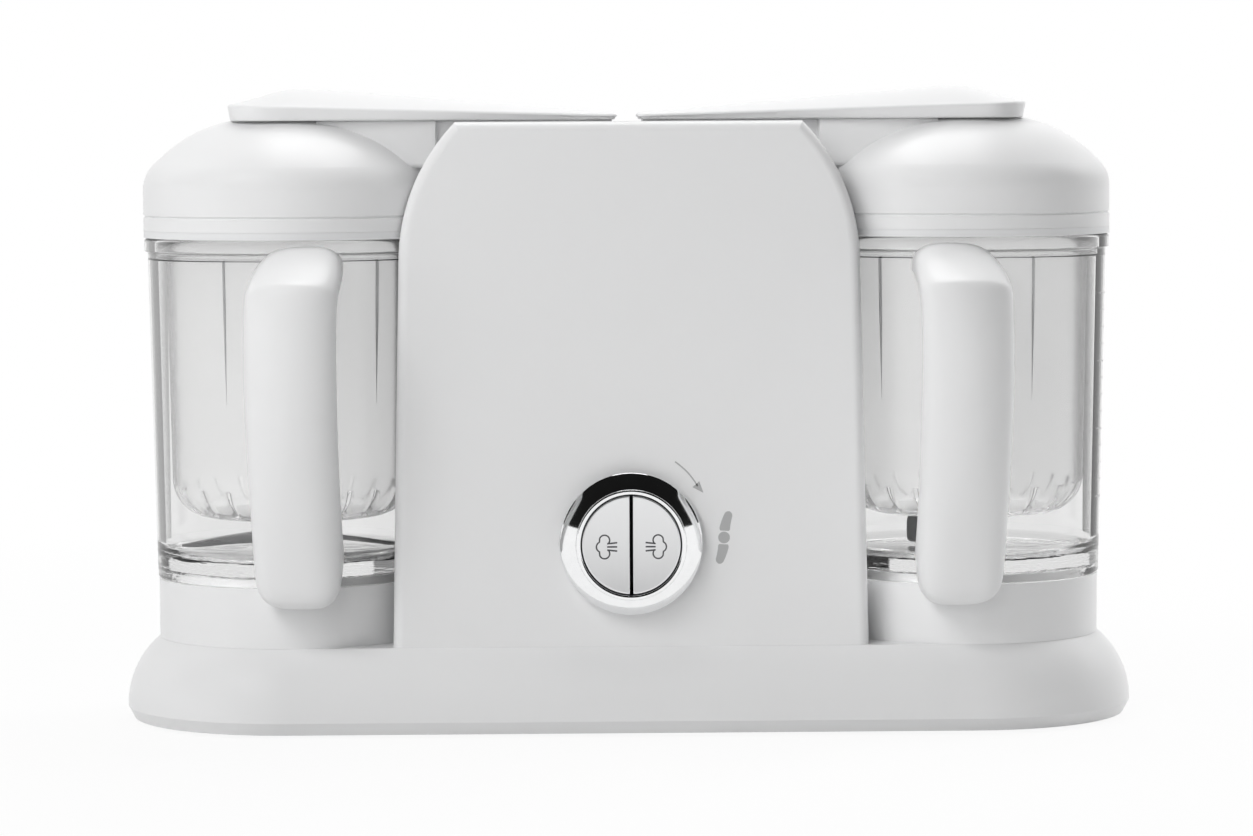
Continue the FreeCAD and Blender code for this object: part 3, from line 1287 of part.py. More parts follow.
def make_everything():
    make_base_shell()
    make_base_plate()
    make_rubber_feet()
    make_base_screws()
    make_drive_pulley()
    make_motor_bracket()
    make_motor_housing()
    make_motor_rotor()
    make_front_panel()
    make_rear_panel()
    make_tower_body()
    make_tower_deck()
    make_control_board()
    make_cord_gland()
    make_mix_knob()
    make_control_carrier()
    make_switches()
    make_thermostats()
    for side, sign, rotation in SIDES:
        level = S.belt_level if sign < 0 else upper_belt
        make_pedestal(side, sign)
        make_spindle_bush(side, sign)
        make_spindle(side, sign, level)
        make_driven_pulley(side, sign, level)
        make_belt(side, level, rotation)
        make_button(side, sign)
        make_button_pad(side, sign)
        make_tank(side, sign)
        make_heater(side, sign)
        make_bowl(side, sign)
        make_handle(side, sign)
        make_blade_seal(side, sign)
        make_blade_hub(side, sign)
        make_blade_wings(side, sign)
        make_basket(side, sign)
        make_lid_dome(side, sign, rotation)
        make_lid_gasket(side, sign)
        make_lid_bridge(side, rotation)
        make_tank_seal(side, sign)
        make_hinge_pin(side, sign)
        make_lid_arm(side, rotation)


def check_document():
    """Stop before anything is written if a feature failed or a cut took nothing away."""
    faults = []
    for thing in doc.Objects:
        if {"Invalid", "Error"} & set(thing.State):
            faults.append(f"{thing.Name}: {thing.State}")
        if thing.TypeId in ("PartDesign::Pocket", "PartDesign::Groove"):
            if thing.Shape.Volume > thing.BaseFeature.Shape.Volume - 1e-3:
                faults.append(f"{thing.Name}: removes nothing")
    for name, thing in NODES.items():
        if thing.Shape.isNull() or not thing.Shape.isValid():
            faults.append(f"{name}: bad shape")
    if faults:
        raise SystemExit("\n".join(faults))


make_everything()
doc.recompute()
check_document()
os.makedirs("parts", exist_ok=True)
for name, thing in NODES.items():
    thing.Shape.exportStep(f"parts/{name}.step")
    print(name, len(thing.Shape.Solids), round(thing.Shape.Volume / 1000, 2), "cm3")
print(len(NODES), "nodes")
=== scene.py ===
# %% [markdown]
# # A twin-bowl baby food maker
# The CAD model holds every working part at its real size. This notebook dresses it: white moulded
# housings, clear bowls, a chrome ring and small printed signs. Sizes are written in millimetres, as on
# the drawing, and become metres only when a mesh is made.

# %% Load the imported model
import json
from math import atan2, cos, pi, radians, sin, tau

import bmesh
import bpy
import numpy as np
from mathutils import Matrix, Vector


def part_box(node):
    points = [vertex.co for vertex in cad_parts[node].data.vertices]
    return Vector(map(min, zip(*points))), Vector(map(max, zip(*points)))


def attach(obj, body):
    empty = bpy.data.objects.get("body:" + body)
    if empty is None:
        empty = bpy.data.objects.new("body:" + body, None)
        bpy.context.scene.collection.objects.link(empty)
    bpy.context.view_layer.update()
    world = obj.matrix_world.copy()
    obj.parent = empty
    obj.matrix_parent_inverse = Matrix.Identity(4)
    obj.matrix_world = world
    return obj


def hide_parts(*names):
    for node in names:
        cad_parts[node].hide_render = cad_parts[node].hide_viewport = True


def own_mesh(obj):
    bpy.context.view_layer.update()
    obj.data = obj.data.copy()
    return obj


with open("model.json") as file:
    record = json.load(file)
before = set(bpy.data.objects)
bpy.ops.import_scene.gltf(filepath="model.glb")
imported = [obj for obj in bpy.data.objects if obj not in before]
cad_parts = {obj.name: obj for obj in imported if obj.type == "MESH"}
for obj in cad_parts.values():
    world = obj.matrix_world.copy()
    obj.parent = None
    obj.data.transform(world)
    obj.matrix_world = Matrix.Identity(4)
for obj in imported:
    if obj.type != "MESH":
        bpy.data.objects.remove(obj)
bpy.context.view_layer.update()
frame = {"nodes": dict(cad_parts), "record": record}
nodes = frame["nodes"]

MM = 0.001
SIDES = (("left", -1), ("right", 1))
basket_low, basket_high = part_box("right_basket")
BOWL_X = (basket_low.x + basket_high.x) / 2 / MM
AXIS_Y = (basket_low.y + basket_high.y) / 2 / MM
print("bowl axes at x = +/-", round(BOWL_X, 2), "y =", round(AXIS_Y, 2))

# %% [markdown]
# ## Meshes from arrays
# Almost every piece here is a grid of points: rings stacked along a path, or one profile carried round
# an axis. A grid needs no modelling by hand. The points come from a formula, and the faces only join
# neighbours, so one helper can turn any grid into a mesh.

# %% From grids to meshes
SHARP = radians(38)
MERGE = 1e-6


def make_mesh(name, points, faces):
    """One closed mesh from points in millimetres: doubles merged, faces outwards, smooth below SHARP."""
    mesh = bpy.data.meshes.new(name)
    spots = np.asarray(points, float).reshape(-1, 3) * MM
    mesh.from_pydata(spots.tolist(), [], faces)
    work = bmesh.new()
    work.from_mesh(mesh)
    bmesh.ops.remove_doubles(work, verts=work.verts, dist=MERGE)
    bmesh.ops.recalc_face_normals(work, faces=work.faces)
    work.to_mesh(mesh)
    work.free()
    mesh.shade_smooth()
    mesh.set_sharp_from_angle(angle=SHARP)
    piece = bpy.data.objects.new(name, mesh)
    bpy.context.scene.collection.objects.link(piece)
    return piece


def grid_faces(rows, columns, loop_rows):
    """Four-sided faces between neighbouring rows; columns always run in a loop."""
    r = np.arange(rows if loop_rows else rows - 1)[:, None]
    c = np.arange(columns)[None, :]
    r1, c1 = (r + 1) % rows, (c + 1) % columns
    corners = (r * columns + c, r * columns + c1, r1 * columns + c1, r1 * columns + c)
    return np.stack(np.broadcast_arrays(*corners), -1).reshape(-1, 4)


def skin(name, rings, loop=False, fans=True):
    """A skin over rings[k, i]; loop joins the last ring to the first, else fans close the two ends."""
    rings = np.asarray(rings, float)
    k, n = rings.shape[:2]
    points, faces = rings.reshape(-1, 3), grid_faces(k, n, loop).tolist()
    if fans and not loop:
        points = np.vstack((points, rings[[0, -1]].mean(1)))
        i = np.arange(n)
        j = (i + 1) % n
        faces += np.stack((j, i, np.full(n, k * n)), -1).tolist()
        faces += np.stack(((k - 1) * n + i, (k - 1) * n + j, np.full(n, k * n + 1)), -1).tolist()
    return make_mesh(name, points, faces)


UP = np.array(((1, 0, 0), (0, 1, 0), (0, 0, 1)), float)
TO_FRONT = np.array(((1, 0, 0), (0, 0, 1), (0, -1, 0)), float)


def turned(name, profile, centre, axes=UP, segments=160, loop=True):
    """Surface of revolution: profile point (r, h) goes to centre + r cos(a) U + r sin(a) V + h W
    for every angle a, where U, V, W are the rows of axes. An open profile starts and ends at r = 0."""
    angle = np.linspace(0, tau, segments, endpoint=False)
    r, h = np.asarray(profile, float).T
    around = np.cos(angle)[:, None] * axes[0] + np.sin(angle)[:, None] * axes[1]
    rings = np.asarray(centre, float) + r[:, None, None] * around + (h[:, None] * axes[2])[:, None]
    return skin(name, rings, loop, fans=False)


# %% [markdown]
# ## Rounded outlines
# Nothing that comes out of a mould has a knife edge. Profiles are therefore written as corners with a
# radius, and a helper replaces each corner by an arc. Two extra points hold the flat side next to the
# arc, so that smooth shading stays inside the rounding. Ovals are superellipses, which are an ellipse at a
# fullness of 2 and come closer to a rectangle as it grows.

# %% Outlines
HOLD = 0.35


def arc(u, v, radius, start, stop, steps=16):
    """Points of a circle about (u, v), from angle start to stop in degrees."""
    a = np.radians(np.linspace(start, stop, steps + 1))
    return np.stack((u + radius * np.cos(a), v + radius * np.sin(a)), -1)


def superellipse(t, fullness):
    """Points of |u|^n + |v|^n = 1: u = sgn(cos t) |cos t|^(2/n) and v = sgn(sin t) |sin t|^(2/n)."""
    u, v = np.cos(t), np.sin(t)
    return np.sign(u) * np.abs(u) ** (2 / fullness), np.sign(v) * np.abs(v) ** (2 / fullness)


def rounded(corners, loop=True, steps=5):
    """Outline from rows of (u, v, radius): the arc at a corner touches both of its sides, its middle
    lies on the half angle, radius / sin(half angle) from the corner."""
    corners = np.asarray(corners, float)
    n = len(corners)
    runs = []
    for i, radius in enumerate(corners[:, 2]):
        spot = corners[i, :2]
        if radius <= 0 or (not loop and i in (0, n - 1)):
            runs.append(spot[None])
            continue
        a, b = corners[i - 1, :2] - spot, corners[(i + 1) % n, :2] - spot
        a, b = a / np.hypot(*a), b / np.hypot(*b)
        half = np.arccos(np.clip(a @ b, -1, 1)) / 2
        middle = spot + (a + b) / np.hypot(*(a + b)) * radius / np.sin(half)
        reach = radius / np.tan(half)
        first, last, sweep = spot + a * reach - middle, spot + b * reach - middle, pi - 2 * half
        s = np.linspace(0, 1, steps + 1)[:, None]
        bend = middle + (first * np.sin((1 - s) * sweep) + last * np.sin(s * sweep)) / np.sin(sweep)
        runs.append(np.vstack((spot + a * (reach + HOLD), bend, spot + b * (reach + HOLD))))
    return np.vstack(runs)


def softened(rail, times=3):
    """Corner cutting: each step puts points at 1/4 and 3/4 of every run, and keeps the two ends."""
    for _ in range(times):
        near, far = rail[:-1] * 0.75 + rail[1:] * 0.25, rail[:-1] * 0.25 + rail[1:] * 0.75
        rail = np.vstack((rail[:1], np.stack((near, far), 1).reshape(-1, rail.shape[1]), rail[-1:]))
    return rail


# %% [markdown]
# ## Finishes
# A finish is a Principled shader with a little life in it. Noise on Object coordinates, which are metres
# on the object itself, varies the colour by a percent or two, breaks up the roughness and lifts the
# surface by microns, as the skin of a moulding does. What is the same all over is set on the socket.

# %% Finish helper
class Finish:
    """A node material with a Principled shader and helpers that hang noise on its sockets."""

    def __init__(self, name, colour, roughness, **sockets):
        self.material = bpy.data.materials.new(name)
        self.material.use_nodes = True
        self.nodes, self.links = self.material.node_tree.nodes, self.material.node_tree.links
        self.shader = self.nodes["Principled BSDF"]
        self.colour, self.roughness = colour, roughness
        self.shader.inputs["Base Color"].default_value = (*colour, 1)
        self.shader.inputs["Roughness"].default_value = roughness
        for socket, value in sockets.items():
            self.shader.inputs[socket.replace("_", " ")].default_value = value
        self.place = self.nodes.new("ShaderNodeTexCoord").outputs["Object"]

    def noise(self, scale, detail=3.0, stretch=None):
        """Noise on Object coordinates; stretch scales the three axes apart, for drawn or brushed lines."""
        place = self.place
        if stretch:
            mapping = self.nodes.new("ShaderNodeMapping")
            mapping.inputs["Scale"].default_value = stretch
            self.links.new(place, mapping.inputs["Vector"])
            place = mapping.outputs["Vector"]
        texture = self.nodes.new("ShaderNodeTexNoise")
        texture.inputs["Scale"].default_value = scale
        texture.inputs["Detail"].default_value = detail
        self.links.new(place, texture.inputs["Vector"])
        return texture.outputs["Fac"]

    def span(self, factor, low, high):
        """Map noise, which stays near the middle of 0 to 1, to a range of values."""
        remap = self.nodes.new("ShaderNodeMapRange")
        for socket, value in (("From Min", 0.3), ("From Max", 0.7), ("To Min", low), ("To Max", high)):
            remap.inputs[socket].default_value = value
        self.links.new(factor, remap.inputs["Value"])
        return remap.outputs["Result"]

    def mottle(self, factor, amount):
        """Base colour a little darker and lighter by the noise."""
        mix = self.nodes.new("ShaderNodeMix")
        mix.data_type = "RGBA"
        mix.inputs["A"].default_value = (*(c * (1 - amount) for c in self.colour), 1)
        mix.inputs["B"].default_value = (*(min(c * (1 + amount), 1) for c in self.colour), 1)
        self.links.new(self.span(factor, 0, 1), mix.inputs["Factor"])
        self.links.new(mix.outputs["Result"], self.shader.inputs["Base Color"])
        return self

    def below(self, height, fade):
        """1 under a height in metres and 0 above it, with a soft edge."""
        split, remap = self.nodes.new("ShaderNodeSeparateXYZ"), self.nodes.new("ShaderNodeMapRange")
        self.links.new(self.place, split.inputs["Vector"])
        self.links.new(split.outputs["Z"], remap.inputs["Value"])
        for socket, value in (("From Min", height + fade), ("From Max", height)):
            remap.inputs[socket].default_value = value
        return remap.outputs["Result"]

    def product(self, one, other):
        """Two factors multiplied."""
        times = self.nodes.new("ShaderNodeMath")
        times.operation = "MULTIPLY"
        self.links.new(one, times.inputs[0])
        self.links.new(other, times.inputs[1])
        return times.outputs["Value"]

    def tint(self, factor, colour):
        """Base colour that turns into another where the factor is 1."""
        mix = self.nodes.new("ShaderNodeMix")
        mix.data_type = "RGBA"
        mix.inputs["A"].default_value, mix.inputs["B"].default_value = (*self.colour, 1), (*colour, 1)
        self.links.new(factor, mix.inputs["Factor"])
        self.links.new(mix.outputs["Result"], self.shader.inputs["Base Color"])
        return self

    def wear(self, factor, amount):
        """Roughness that wanders about its value."""
        self.links.new(self.span(factor, self.roughness - amount, self.roughness + amount),
                       self.shader.inputs["Roughness"])
        return self

    def relief(self, factor, height):
        """Bump of the given height in metres."""
        bump = self.nodes.new("ShaderNodeBump")
        bump.inputs["Strength"].default_value = 1.0
        bump.inputs["Distance"].default_value = height
        self.links.new(factor, bump.inputs["Height"])
        self.links.new(bump.outputs["Normal"], self.shader.inputs["Normal"])
        return self


def moulded(name, colour, roughness, orange_peel=2e-6, **sockets):
    """Injection-moulded plastic: faint colour flow, uneven gloss and a skin of millimetre waves."""
    finish = Finish(name, colour, roughness, **sockets)
    finish.mottle(finish.noise(7, 1), 0.006)
    finish.wear(finish.noise(55, 2), 0.02)
    return finish.relief(finish.noise(420, 2), orange_peel).material


def drawn_metal(name, colour, roughness, stretch, scratch=2e-6, uneven=0.05):
    """Metal with fine lines along one direction, from noise stretched across it."""
    finish = Finish(name, colour, roughness, Metallic=1.0)
    lines = finish.noise(240, 3, stretch)
    finish.mottle(lines, uneven)
    finish.wear(lines, uneven)
    return finish.relief(lines, scratch).material


# %% The finishes of this object, by the record's slots
FINISHES = {
    "white_gloss": moulded("white_moulding", (0.85, 0.852, 0.855), 0.30),
    "dark_base": moulded("dark_moulding", (0.045, 0.046, 0.05), 0.5, 8e-6),
    "rubber_black": moulded("black_rubber", (0.022, 0.022, 0.023), 0.75, 1.2e-5),
    "seal_silicone": moulded("pale_silicone", (0.82, 0.825, 0.83), 0.36, 3e-6),
    "steel": drawn_metal("plain_steel", (0.60, 0.61, 0.62), 0.34, (1, 1, 0.05)),
    "blade_steel": drawn_metal("ground_blade_steel", (0.2, 0.202, 0.205), 0.3, (0.06, 1, 1)),
    "bronze": drawn_metal("sintered_bronze", (0.52, 0.34, 0.16), 0.45, (1, 1, 0.3)),
    "chrome_ring": drawn_metal("polished_chrome", (0.90, 0.905, 0.91), 0.07, (1, 1, 1), 2e-8, 0.02),
    "button_silver": drawn_metal("satin_silver", (0.88, 0.884, 0.89), 0.3, (1, 1, 0.1), 1e-7, 0.015),
    "board_green": moulded("solder_mask", (0.03, 0.14, 0.06), 0.4),
    "switch_black": moulded("black_moulding", (0.02, 0.02, 0.022), 0.45),
    "pulley_grey": moulded("grey_moulding", (0.22, 0.225, 0.23), 0.5),
    "hub_grey": moulded("hub_moulding", (0.075, 0.077, 0.082), 0.42),
}
print(len(FINISHES), "solid finishes")

# %% [markdown]
# ## Clear plastics
# The baskets are thin and hazy, so their light bends little: a low index and a rough surface. The bowls are
# clear, and only their thick foot shows flow marks from the mould. A factor that is 1 below the floor of the
# bowl keeps the marks and a darker tint down there. The tint is painted shade: it stands in for the shaded
# pedestal that shows through the foot.

# %% Clear finishes
FOOT_TOP, FOOT_FADE = 0.0665, 0.0015
# The foot's darker grey is painted shade: it stands in for the shaded pedestal seen through the clear foot.
BOWL_GREY, FOOT_SHADE_GREY = (0.89, 0.89, 0.89), (0.74, 0.74, 0.74)
FLOW_SCALE, FLOW_STRETCH, FLOW_HEIGHT = 45, (1, 1, 9), 4e-4


def clear(name, colour, roughness, **sockets):
    """Clear moulding: light passes through, faintly uneven in tint and gloss."""
    finish = Finish(name, colour, roughness, **sockets)
    finish.mottle(finish.noise(12, 2), 0.008)
    return finish.wear(finish.noise(30, 1), roughness * 0.1).material


bowl_finish = Finish("clear_moulding", BOWL_GREY, 0.015, IOR=1.38, Transmission_Weight=1.0)
foot = bowl_finish.below(FOOT_TOP, FOOT_FADE)
# Painted shade: the foot is tinted darker where the shaded pedestal shows through it.
bowl_finish.tint(foot, FOOT_SHADE_GREY)
flow_marks = bowl_finish.product(bowl_finish.noise(FLOW_SCALE, 3, FLOW_STRETCH), foot)
bowl_finish.relief(flow_marks, FLOW_HEIGHT)
FINISHES["bowl_clear"] = bowl_finish.wear(bowl_finish.noise(30, 1), 0.002).material
FINISHES["basket_grey"] = clear("smoked_moulding", (0.95, 0.95, 0.95), 0.2, IOR=1.06,
                                Transmission_Weight=0.9)
for row in frame["record"]["subparts"]:
    node = nodes[row["node"]]
    node.data.materials.clear()
    node.data.materials.append(FINISHES[row["material_slot"]])
print(len(FINISHES), "finishes on", len(nodes), "nodes")


def dress(piece, body, slot, *replaced):
    """Give a piece its finish, let it ride on its body and stand for its CAD nodes."""
    piece.data.materials.clear()
    piece.data.materials.append(FINISHES[slot])
    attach(piece, body)
    if replaced:
        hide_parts(*replaced)
    return piece


# %% [markdown]
# ## Camera
# The photograph looks almost straight at the front, from a little above and a touch from the left, with a
# long lens: upright edges stay nearly parallel. The camera stands 1.65 m in front of the bowl axes, looks
# down by four degrees and leans a third of a degree, as a hand-levelled tripod does.

# %% Camera
PHOTO_WIDTH, SENSOR, FOCAL_PIXELS = 1253, 36.0, 4202.0
CAMERA_LEFT, CAMERA_AWAY, CAMERA_Z = 27.0, 1650.0, 235.0
CAMERA_DOWN, CAMERA_LEAN = 4.09, 0.3
lens = bpy.data.cameras.new("camera")
lens.sensor_fit = "HORIZONTAL"
lens.sensor_width = SENSOR
lens.lens = FOCAL_PIXELS / PHOTO_WIDTH * SENSOR
camera = bpy.data.objects.new("camera", lens)
camera.location = (-CAMERA_LEFT * MM, (AXIS_Y - CAMERA_AWAY) * MM, CAMERA_Z * MM)
camera.rotation_euler = (radians(90 - CAMERA_DOWN), radians(CAMERA_LEAN), -atan2(CAMERA_LEFT, CAMERA_AWAY))
scene = bpy.context.scene
scene.collection.objects.link(camera)
scene.camera = camera
print("lens", round(lens.lens, 1), "mm")

# %% [markdown]
# ## Handles
# Each bowl has a bow-shaped handle that leaves the wall below the rim, swings out and comes back at the
# foot. Bending a bar would give it one thickness; the real one swells and slims. So two rails are drawn in
# the handle's own upright plane, the outer and the inner line of the bow, and an oval is stretched between
# them at every station. Its widest line lies near the inner rail, so the front is round and the grip flat.
# The roots sit a little towards the tower, and from there the bow turns outwards.

# %% Handles
FOOT_Z, WALL_FOOT, WALL_RISE = 56.3, 53.1, 2.6 / 127.7
RIM_Z, RIM_R = 183.5, 57.05
HANDLE_PIVOT, HANDLE_TURN, FRONT_SHARE = -68.0, radians(8.0), 0.78
SHIFT_HEIGHTS = (55, 180)
HANDLE_SHIFT = {-1: (4.7, 6.8), 1: (5.9, 8.0)}
STATIONS = np.array((
    # outer y, outer z, inner y, inner z, half width, fullness
    (-56.0, 187.0, -55.0, 174.0, 14.8, 2.9), (-61.0, 186.4, -60.0, 173.6, 15.8, 2.9),
    (-70.0, 182.8, -66.0, 172.8, 16.9, 2.8), (-79.0, 178.4, -71.6, 170.8, 17.4, 2.6),
    (-86.6, 174.6, -75.6, 167.6, 17.5, 2.4), (-89.0, 172.4, -76.6, 165.0, 17.5, 2.2),
    (-90.6, 168.0, -77.4, 161.4, 17.5, 2.0), (-92.0, 158.0, -78.0, 152.0, 17.5, 1.9),
    (-91.6, 146.0, -77.4, 141.0, 17.5, 1.9), (-89.6, 130.0, -75.2, 126.0, 17.5, 1.9),
    (-86.2, 113.0, -71.8, 110.0, 17.4, 1.95), (-81.6, 96.0, -67.0, 95.0, 17.3, 2.1),
    (-76.4, 79.0, -62.4, 83.0, 17.2, 2.6), (-72.0, 65.0, -58.8, 75.6, 17.1, 2.9),
    (-69.4, 55.6, -56.6, 72.4, 16.9, 3.3), (-66.4, 50.6, -55.0, 70.6, 16.5, 3.5),
    (-60.0, 49.0, -53.8, 69.6, 15.6, 3.5), (-55.4, 48.8, -53.0, 69.0, 14.6, 3.5)))


def bowl_wall(z):
    """Outer radius of the bowl at a height: it grows evenly from the foot and steps out at the rim."""
    return np.where(z > RIM_Z, RIM_R, WALL_FOOT + (np.maximum(z, FOOT_Z) - FOOT_Z) * WALL_RISE)


def handle_rings(side, around=72):
    """Ring k runs round a superellipse (u, v) between the rails: u goes across by the half width, and v goes
    from the widest line to the outer rail or, below 0, to the inner one. The plane then turns outwards about
    the pivot, and the first and last ring are pressed on the bowl's wall: y = -sqrt(R(z)^2 - x^2)."""
    rail = softened(STATIONS, 3)
    outer, inner, width, fullness = rail[:, None, 0:2], rail[:, None, 2:4], rail[:, None, 4], rail[:, None, 5]
    u, v = superellipse(np.linspace(0, tau, around, endpoint=False), fullness)
    depth = 1 - FRONT_SHARE + v * np.where(v > 0, FRONT_SHARE, 1 - FRONT_SHARE)
    out, z = np.moveaxis(inner + depth[..., None] * (outer - inner), -1, 0)
    across, out = width * u, out - HANDLE_PIVOT
    shift = np.interp(z, SHIFT_HEIGHTS, HANDLE_SHIFT[side])
    x = across * cos(HANDLE_TURN) - side * (shift + out * sin(HANDLE_TURN))
    y = HANDLE_PIVOT + out * cos(HANDLE_TURN) + side * across * sin(HANDLE_TURN)
    ends = [0, -1]
    y[ends] = -np.sqrt(bowl_wall(z[ends]) ** 2 - x[ends] ** 2)
    return np.stack((side * BOWL_X + x, AXIS_Y + y, z), -1)


for name, side in SIDES:
    handle = skin(f"{name}_bow_handle", handle_rings(side))
    dress(handle, f"{name}_bowl", "white_gloss", f"{name}_handle")
    print(handle.name, len(handle.data.polygons), "faces")


# %% [markdown]
# ## Bowls
# Clear plastic shows both faces of its wall, so a bowl has to be a closed wall with a real thickness: one
# profile that runs up the outside, over the rim and down the inside, turned about the bowl's axis. Light
# passes it, so it throws no shadow.

# %% Bowls
bowl_profile = rounded((
    # radius, height, rounding
    (7.4, 59.8, 0.3), (46.4, 59.8, 0.6), (46.4, 56.3, 0.4), (53.1, 56.3, 1.0), (55.7, 183.6, 0.6),
    (57.0, 184.0, 0.5), (57.0, 189.0, 1.2), (52.7, 189.0, 0.8), (52.7, 181.0, 0.4), (51.5, 181.0, 0.4),
    (50.1, 64.6, 6.0), (10.5, 64.6, 1.2), (10.5, 70.6, 0.6), (7.4, 70.6, 0.4)), steps=7)
for name, side in SIDES:
    bowl = turned(f"{name}_clear_bowl", bowl_profile, (side * BOWL_X, AXIS_Y, 0), segments=220)
    dress(bowl, f"{name}_bowl", "bowl_clear", f"{name}_bowl")
    bowl.visible_shadow = False
    print(bowl.name, len(bowl.data.polygons), "faces")

# %% [markdown]
# ## Steam baskets
# A basket hangs in each bowl: a thin cup with slots round its lower corner and slim upright ribs. Cutting
# slots out of a solid wall takes many booleans. A grid is easier: one surface, the faces of the slots left
# out, and Solidify for the wall. The ribs have a darker grey of their own, which is painted shade for the
# grey lines they show in the light; a higher index bends light in them as well.

# %% Basket profile and slots
BASKET_WALL, BASKET_COLUMNS = 1.8, 360
BASKET_FLOOR, BASKET_EDGE, BASKET_LIP = 80.9, 181.2, 47.6
CORNER_U, CORNER_Z, CORNER_R = 32, 95, 14.1
SLOT_PITCH, SLOT_WIDTH, SLOT_TILT = 15, 3, (-60, -14)
basket_line = np.vstack((
    [(r, BASKET_FLOOR) for r in (0, 6, 12, 18, 24, 29)], arc(CORNER_U, CORNER_Z, CORNER_R, -90, 0, 24),
    np.linspace((CORNER_U + CORNER_R, CORNER_Z), (BASKET_LIP, BASKET_EDGE), 19)[1:],
    rounded(((BASKET_LIP, 181.6, 0), (BASKET_LIP, 182.2, 0.5), (51.5, 182.2, 0.8), (51.5, 187.6, 0)),
            loop=False)[1:]))


def basket_grid(side):
    """Profile point (r, z) carried round the bowl's axis."""
    a = np.linspace(0, tau, BASKET_COLUMNS, endpoint=False)
    r, z = basket_line[:, :1], basket_line[:, 1:]
    return np.stack((side * BOWL_X + r * np.cos(a), AXIS_Y + r * np.sin(a), z + 0 * a), -1)


faces = grid_faces(len(basket_line), BASKET_COLUMNS, False).reshape(-1, BASKET_COLUMNS, 4)
tilt = np.degrees(np.arctan2(basket_line[:-1, 1] - CORNER_Z, basket_line[:-1, 0] - CORNER_U))
slot_rows = (tilt > SLOT_TILT[0]) & (tilt < SLOT_TILT[1]) & (basket_line[:-1, 1] < CORNER_Z)
slot_columns = np.arange(BASKET_COLUMNS) % SLOT_PITCH < SLOT_WIDTH
basket_faces = faces[~(slot_rows[:, None] & slot_columns)].tolist()
print(BASKET_COLUMNS // SLOT_PITCH, "slots,", len(basket_faces), "faces left")

# %% Basket ribs
RIB_CENTRE, RIB_SPREAD = 9.0, 36.5
RIB_LOW, RIB_HIGH, RIB_FADE = 126, 181.5, 40
RIB_RISE, RIB_HALF, RIB_FOOT_R, RIB_EDGE_R = 0.7, 0.45, 46.9, 48.4
# Painted shade: the ribs' darker grey stands in for the grey lines they show in the light; their higher index
# is real.
RIB_PAINTED_SHADE = clear("rib_painted_shade", (0.62, 0.622, 0.625), 0.25, IOR=1.3, Transmission_Weight=0.5)


def rib_rings(side, degrees):
    """A slim upright rib on the basket's wall: ovals of 0.9 x 1.4 mm that shrink towards the lower end."""
    z = np.linspace(RIB_LOW, RIB_HIGH, 24)
    shrink = np.clip((z - RIB_LOW + 4) / RIB_FADE, 0.1, 1)[:, None]
    wall = np.interp(z, (CORNER_Z, BASKET_EDGE), (RIB_FOOT_R, RIB_EDGE_R))[:, None]
    t = np.linspace(0, tau, 12, endpoint=False)
    out, across = wall + RIB_RISE * shrink * np.cos(t), RIB_HALF * shrink * np.sin(t)
    a = radians(degrees)
    return np.stack((side * BOWL_X + out * cos(a) - across * sin(a), AXIS_Y + out * sin(a) + across * cos(a),
                     z[:, None] + 0 * t), -1)


# %% Steam baskets
for name, side in SIDES:
    basket = make_mesh(f"{name}_steam_basket", basket_grid(side), basket_faces)
    wall = basket.modifiers.new("wall", "SOLIDIFY")
    wall.thickness, wall.offset = BASKET_WALL * MM, 0
    dress(basket, f"{name}_basket", "basket_grey", f"{name}_basket")
    basket.visible_shadow = False
    for row in (-1, 1):
        rings = rib_rings(side, 270 - side * (RIB_CENTRE + row * RIB_SPREAD))
        rib = dress(skin(f"{name}_basket_rib_{row + 2}", rings), f"{name}_basket", "basket_grey")
        # Each rib takes the darker grey, which is painted shade.
        rib.data.materials[0] = RIB_PAINTED_SHADE
    print(basket.name, "with two ribs")

# %% [markdown]
# ## Blades
# On the floor of each bowl a dark hub carries two ground steel wings that droop towards their tips, with an
# upright lug between them for pulling it out. A wing is a lens-shaped section that narrows and tilts on its
# way out; the lug is a rounded block drawn the same way.

# %% Wings and lugs
WING_ROOT, WING_REACH, WING_Z, WING_CHORD, WING_SWEEP, WING_TILT = 12, 43.6, 71.4, 7.6, 5, 0.24
WING_THICK, WING_EDGE = 0.8, 0.12
LUG_OUT = ((11.0, 1), (14.0, 1), (18.0, 1), (21.5, 0.97), (22.6, 0.88), (23.0, 0.7))
LUG_HALF_WIDTH, LUG_HALF_HEIGHT, LUG_Z, LUG_FULLNESS = 4.6, 5.7, 72.2, 4


def spoke(sections, angle, side):
    """Carry sections[k, i] of (out, across, z) round the bowl's axis by angle."""
    out, across, z = np.moveaxis(np.asarray(sections, float), -1, 0)
    return np.stack((side * BOWL_X + out * cos(angle) - across * sin(angle),
                     AXIS_Y + out * sin(angle) + across * cos(angle), z), -1)


def wing(drop):
    """Lens sections along u from 0 to 1, with v across from -1 to 1: the half chord is the root chord times
    (1 - 0.55 u) sqrt(1 - 0.97 u^8), the half thickness falls with 1 - v^2 to a thin edge, the section
    tilts and sweeps by u^2, and its middle sinks by drop u^1.4."""
    u = np.linspace(0, 1, 26)[:, None]
    t = np.linspace(0, tau, 28, endpoint=False)
    v = np.cos(t)
    chord = WING_CHORD * (1 - 0.55 * u) * np.sqrt(1 - u ** 8 * 0.97)
    thick = np.sin(t) * (WING_THICK * (1 - v ** 2) + WING_EDGE)
    out = WING_ROOT + (WING_REACH - WING_ROOT) * u + 0 * v
    z = WING_Z - drop * u ** 1.4 - WING_TILT * chord * v + thick
    return np.stack((out, WING_SWEEP * u ** 2 + chord * v, z), -1)


def lug():
    """Rounded upright block: superellipses that keep their size on the way out and close at the end."""
    out, shrink = np.array(LUG_OUT).T[..., None]
    u, v = superellipse(np.linspace(0, tau, 36, endpoint=False), LUG_FULLNESS)
    return np.stack((out + 0 * u, LUG_HALF_WIDTH * shrink * u, LUG_Z + LUG_HALF_HEIGHT * shrink * v), -1)


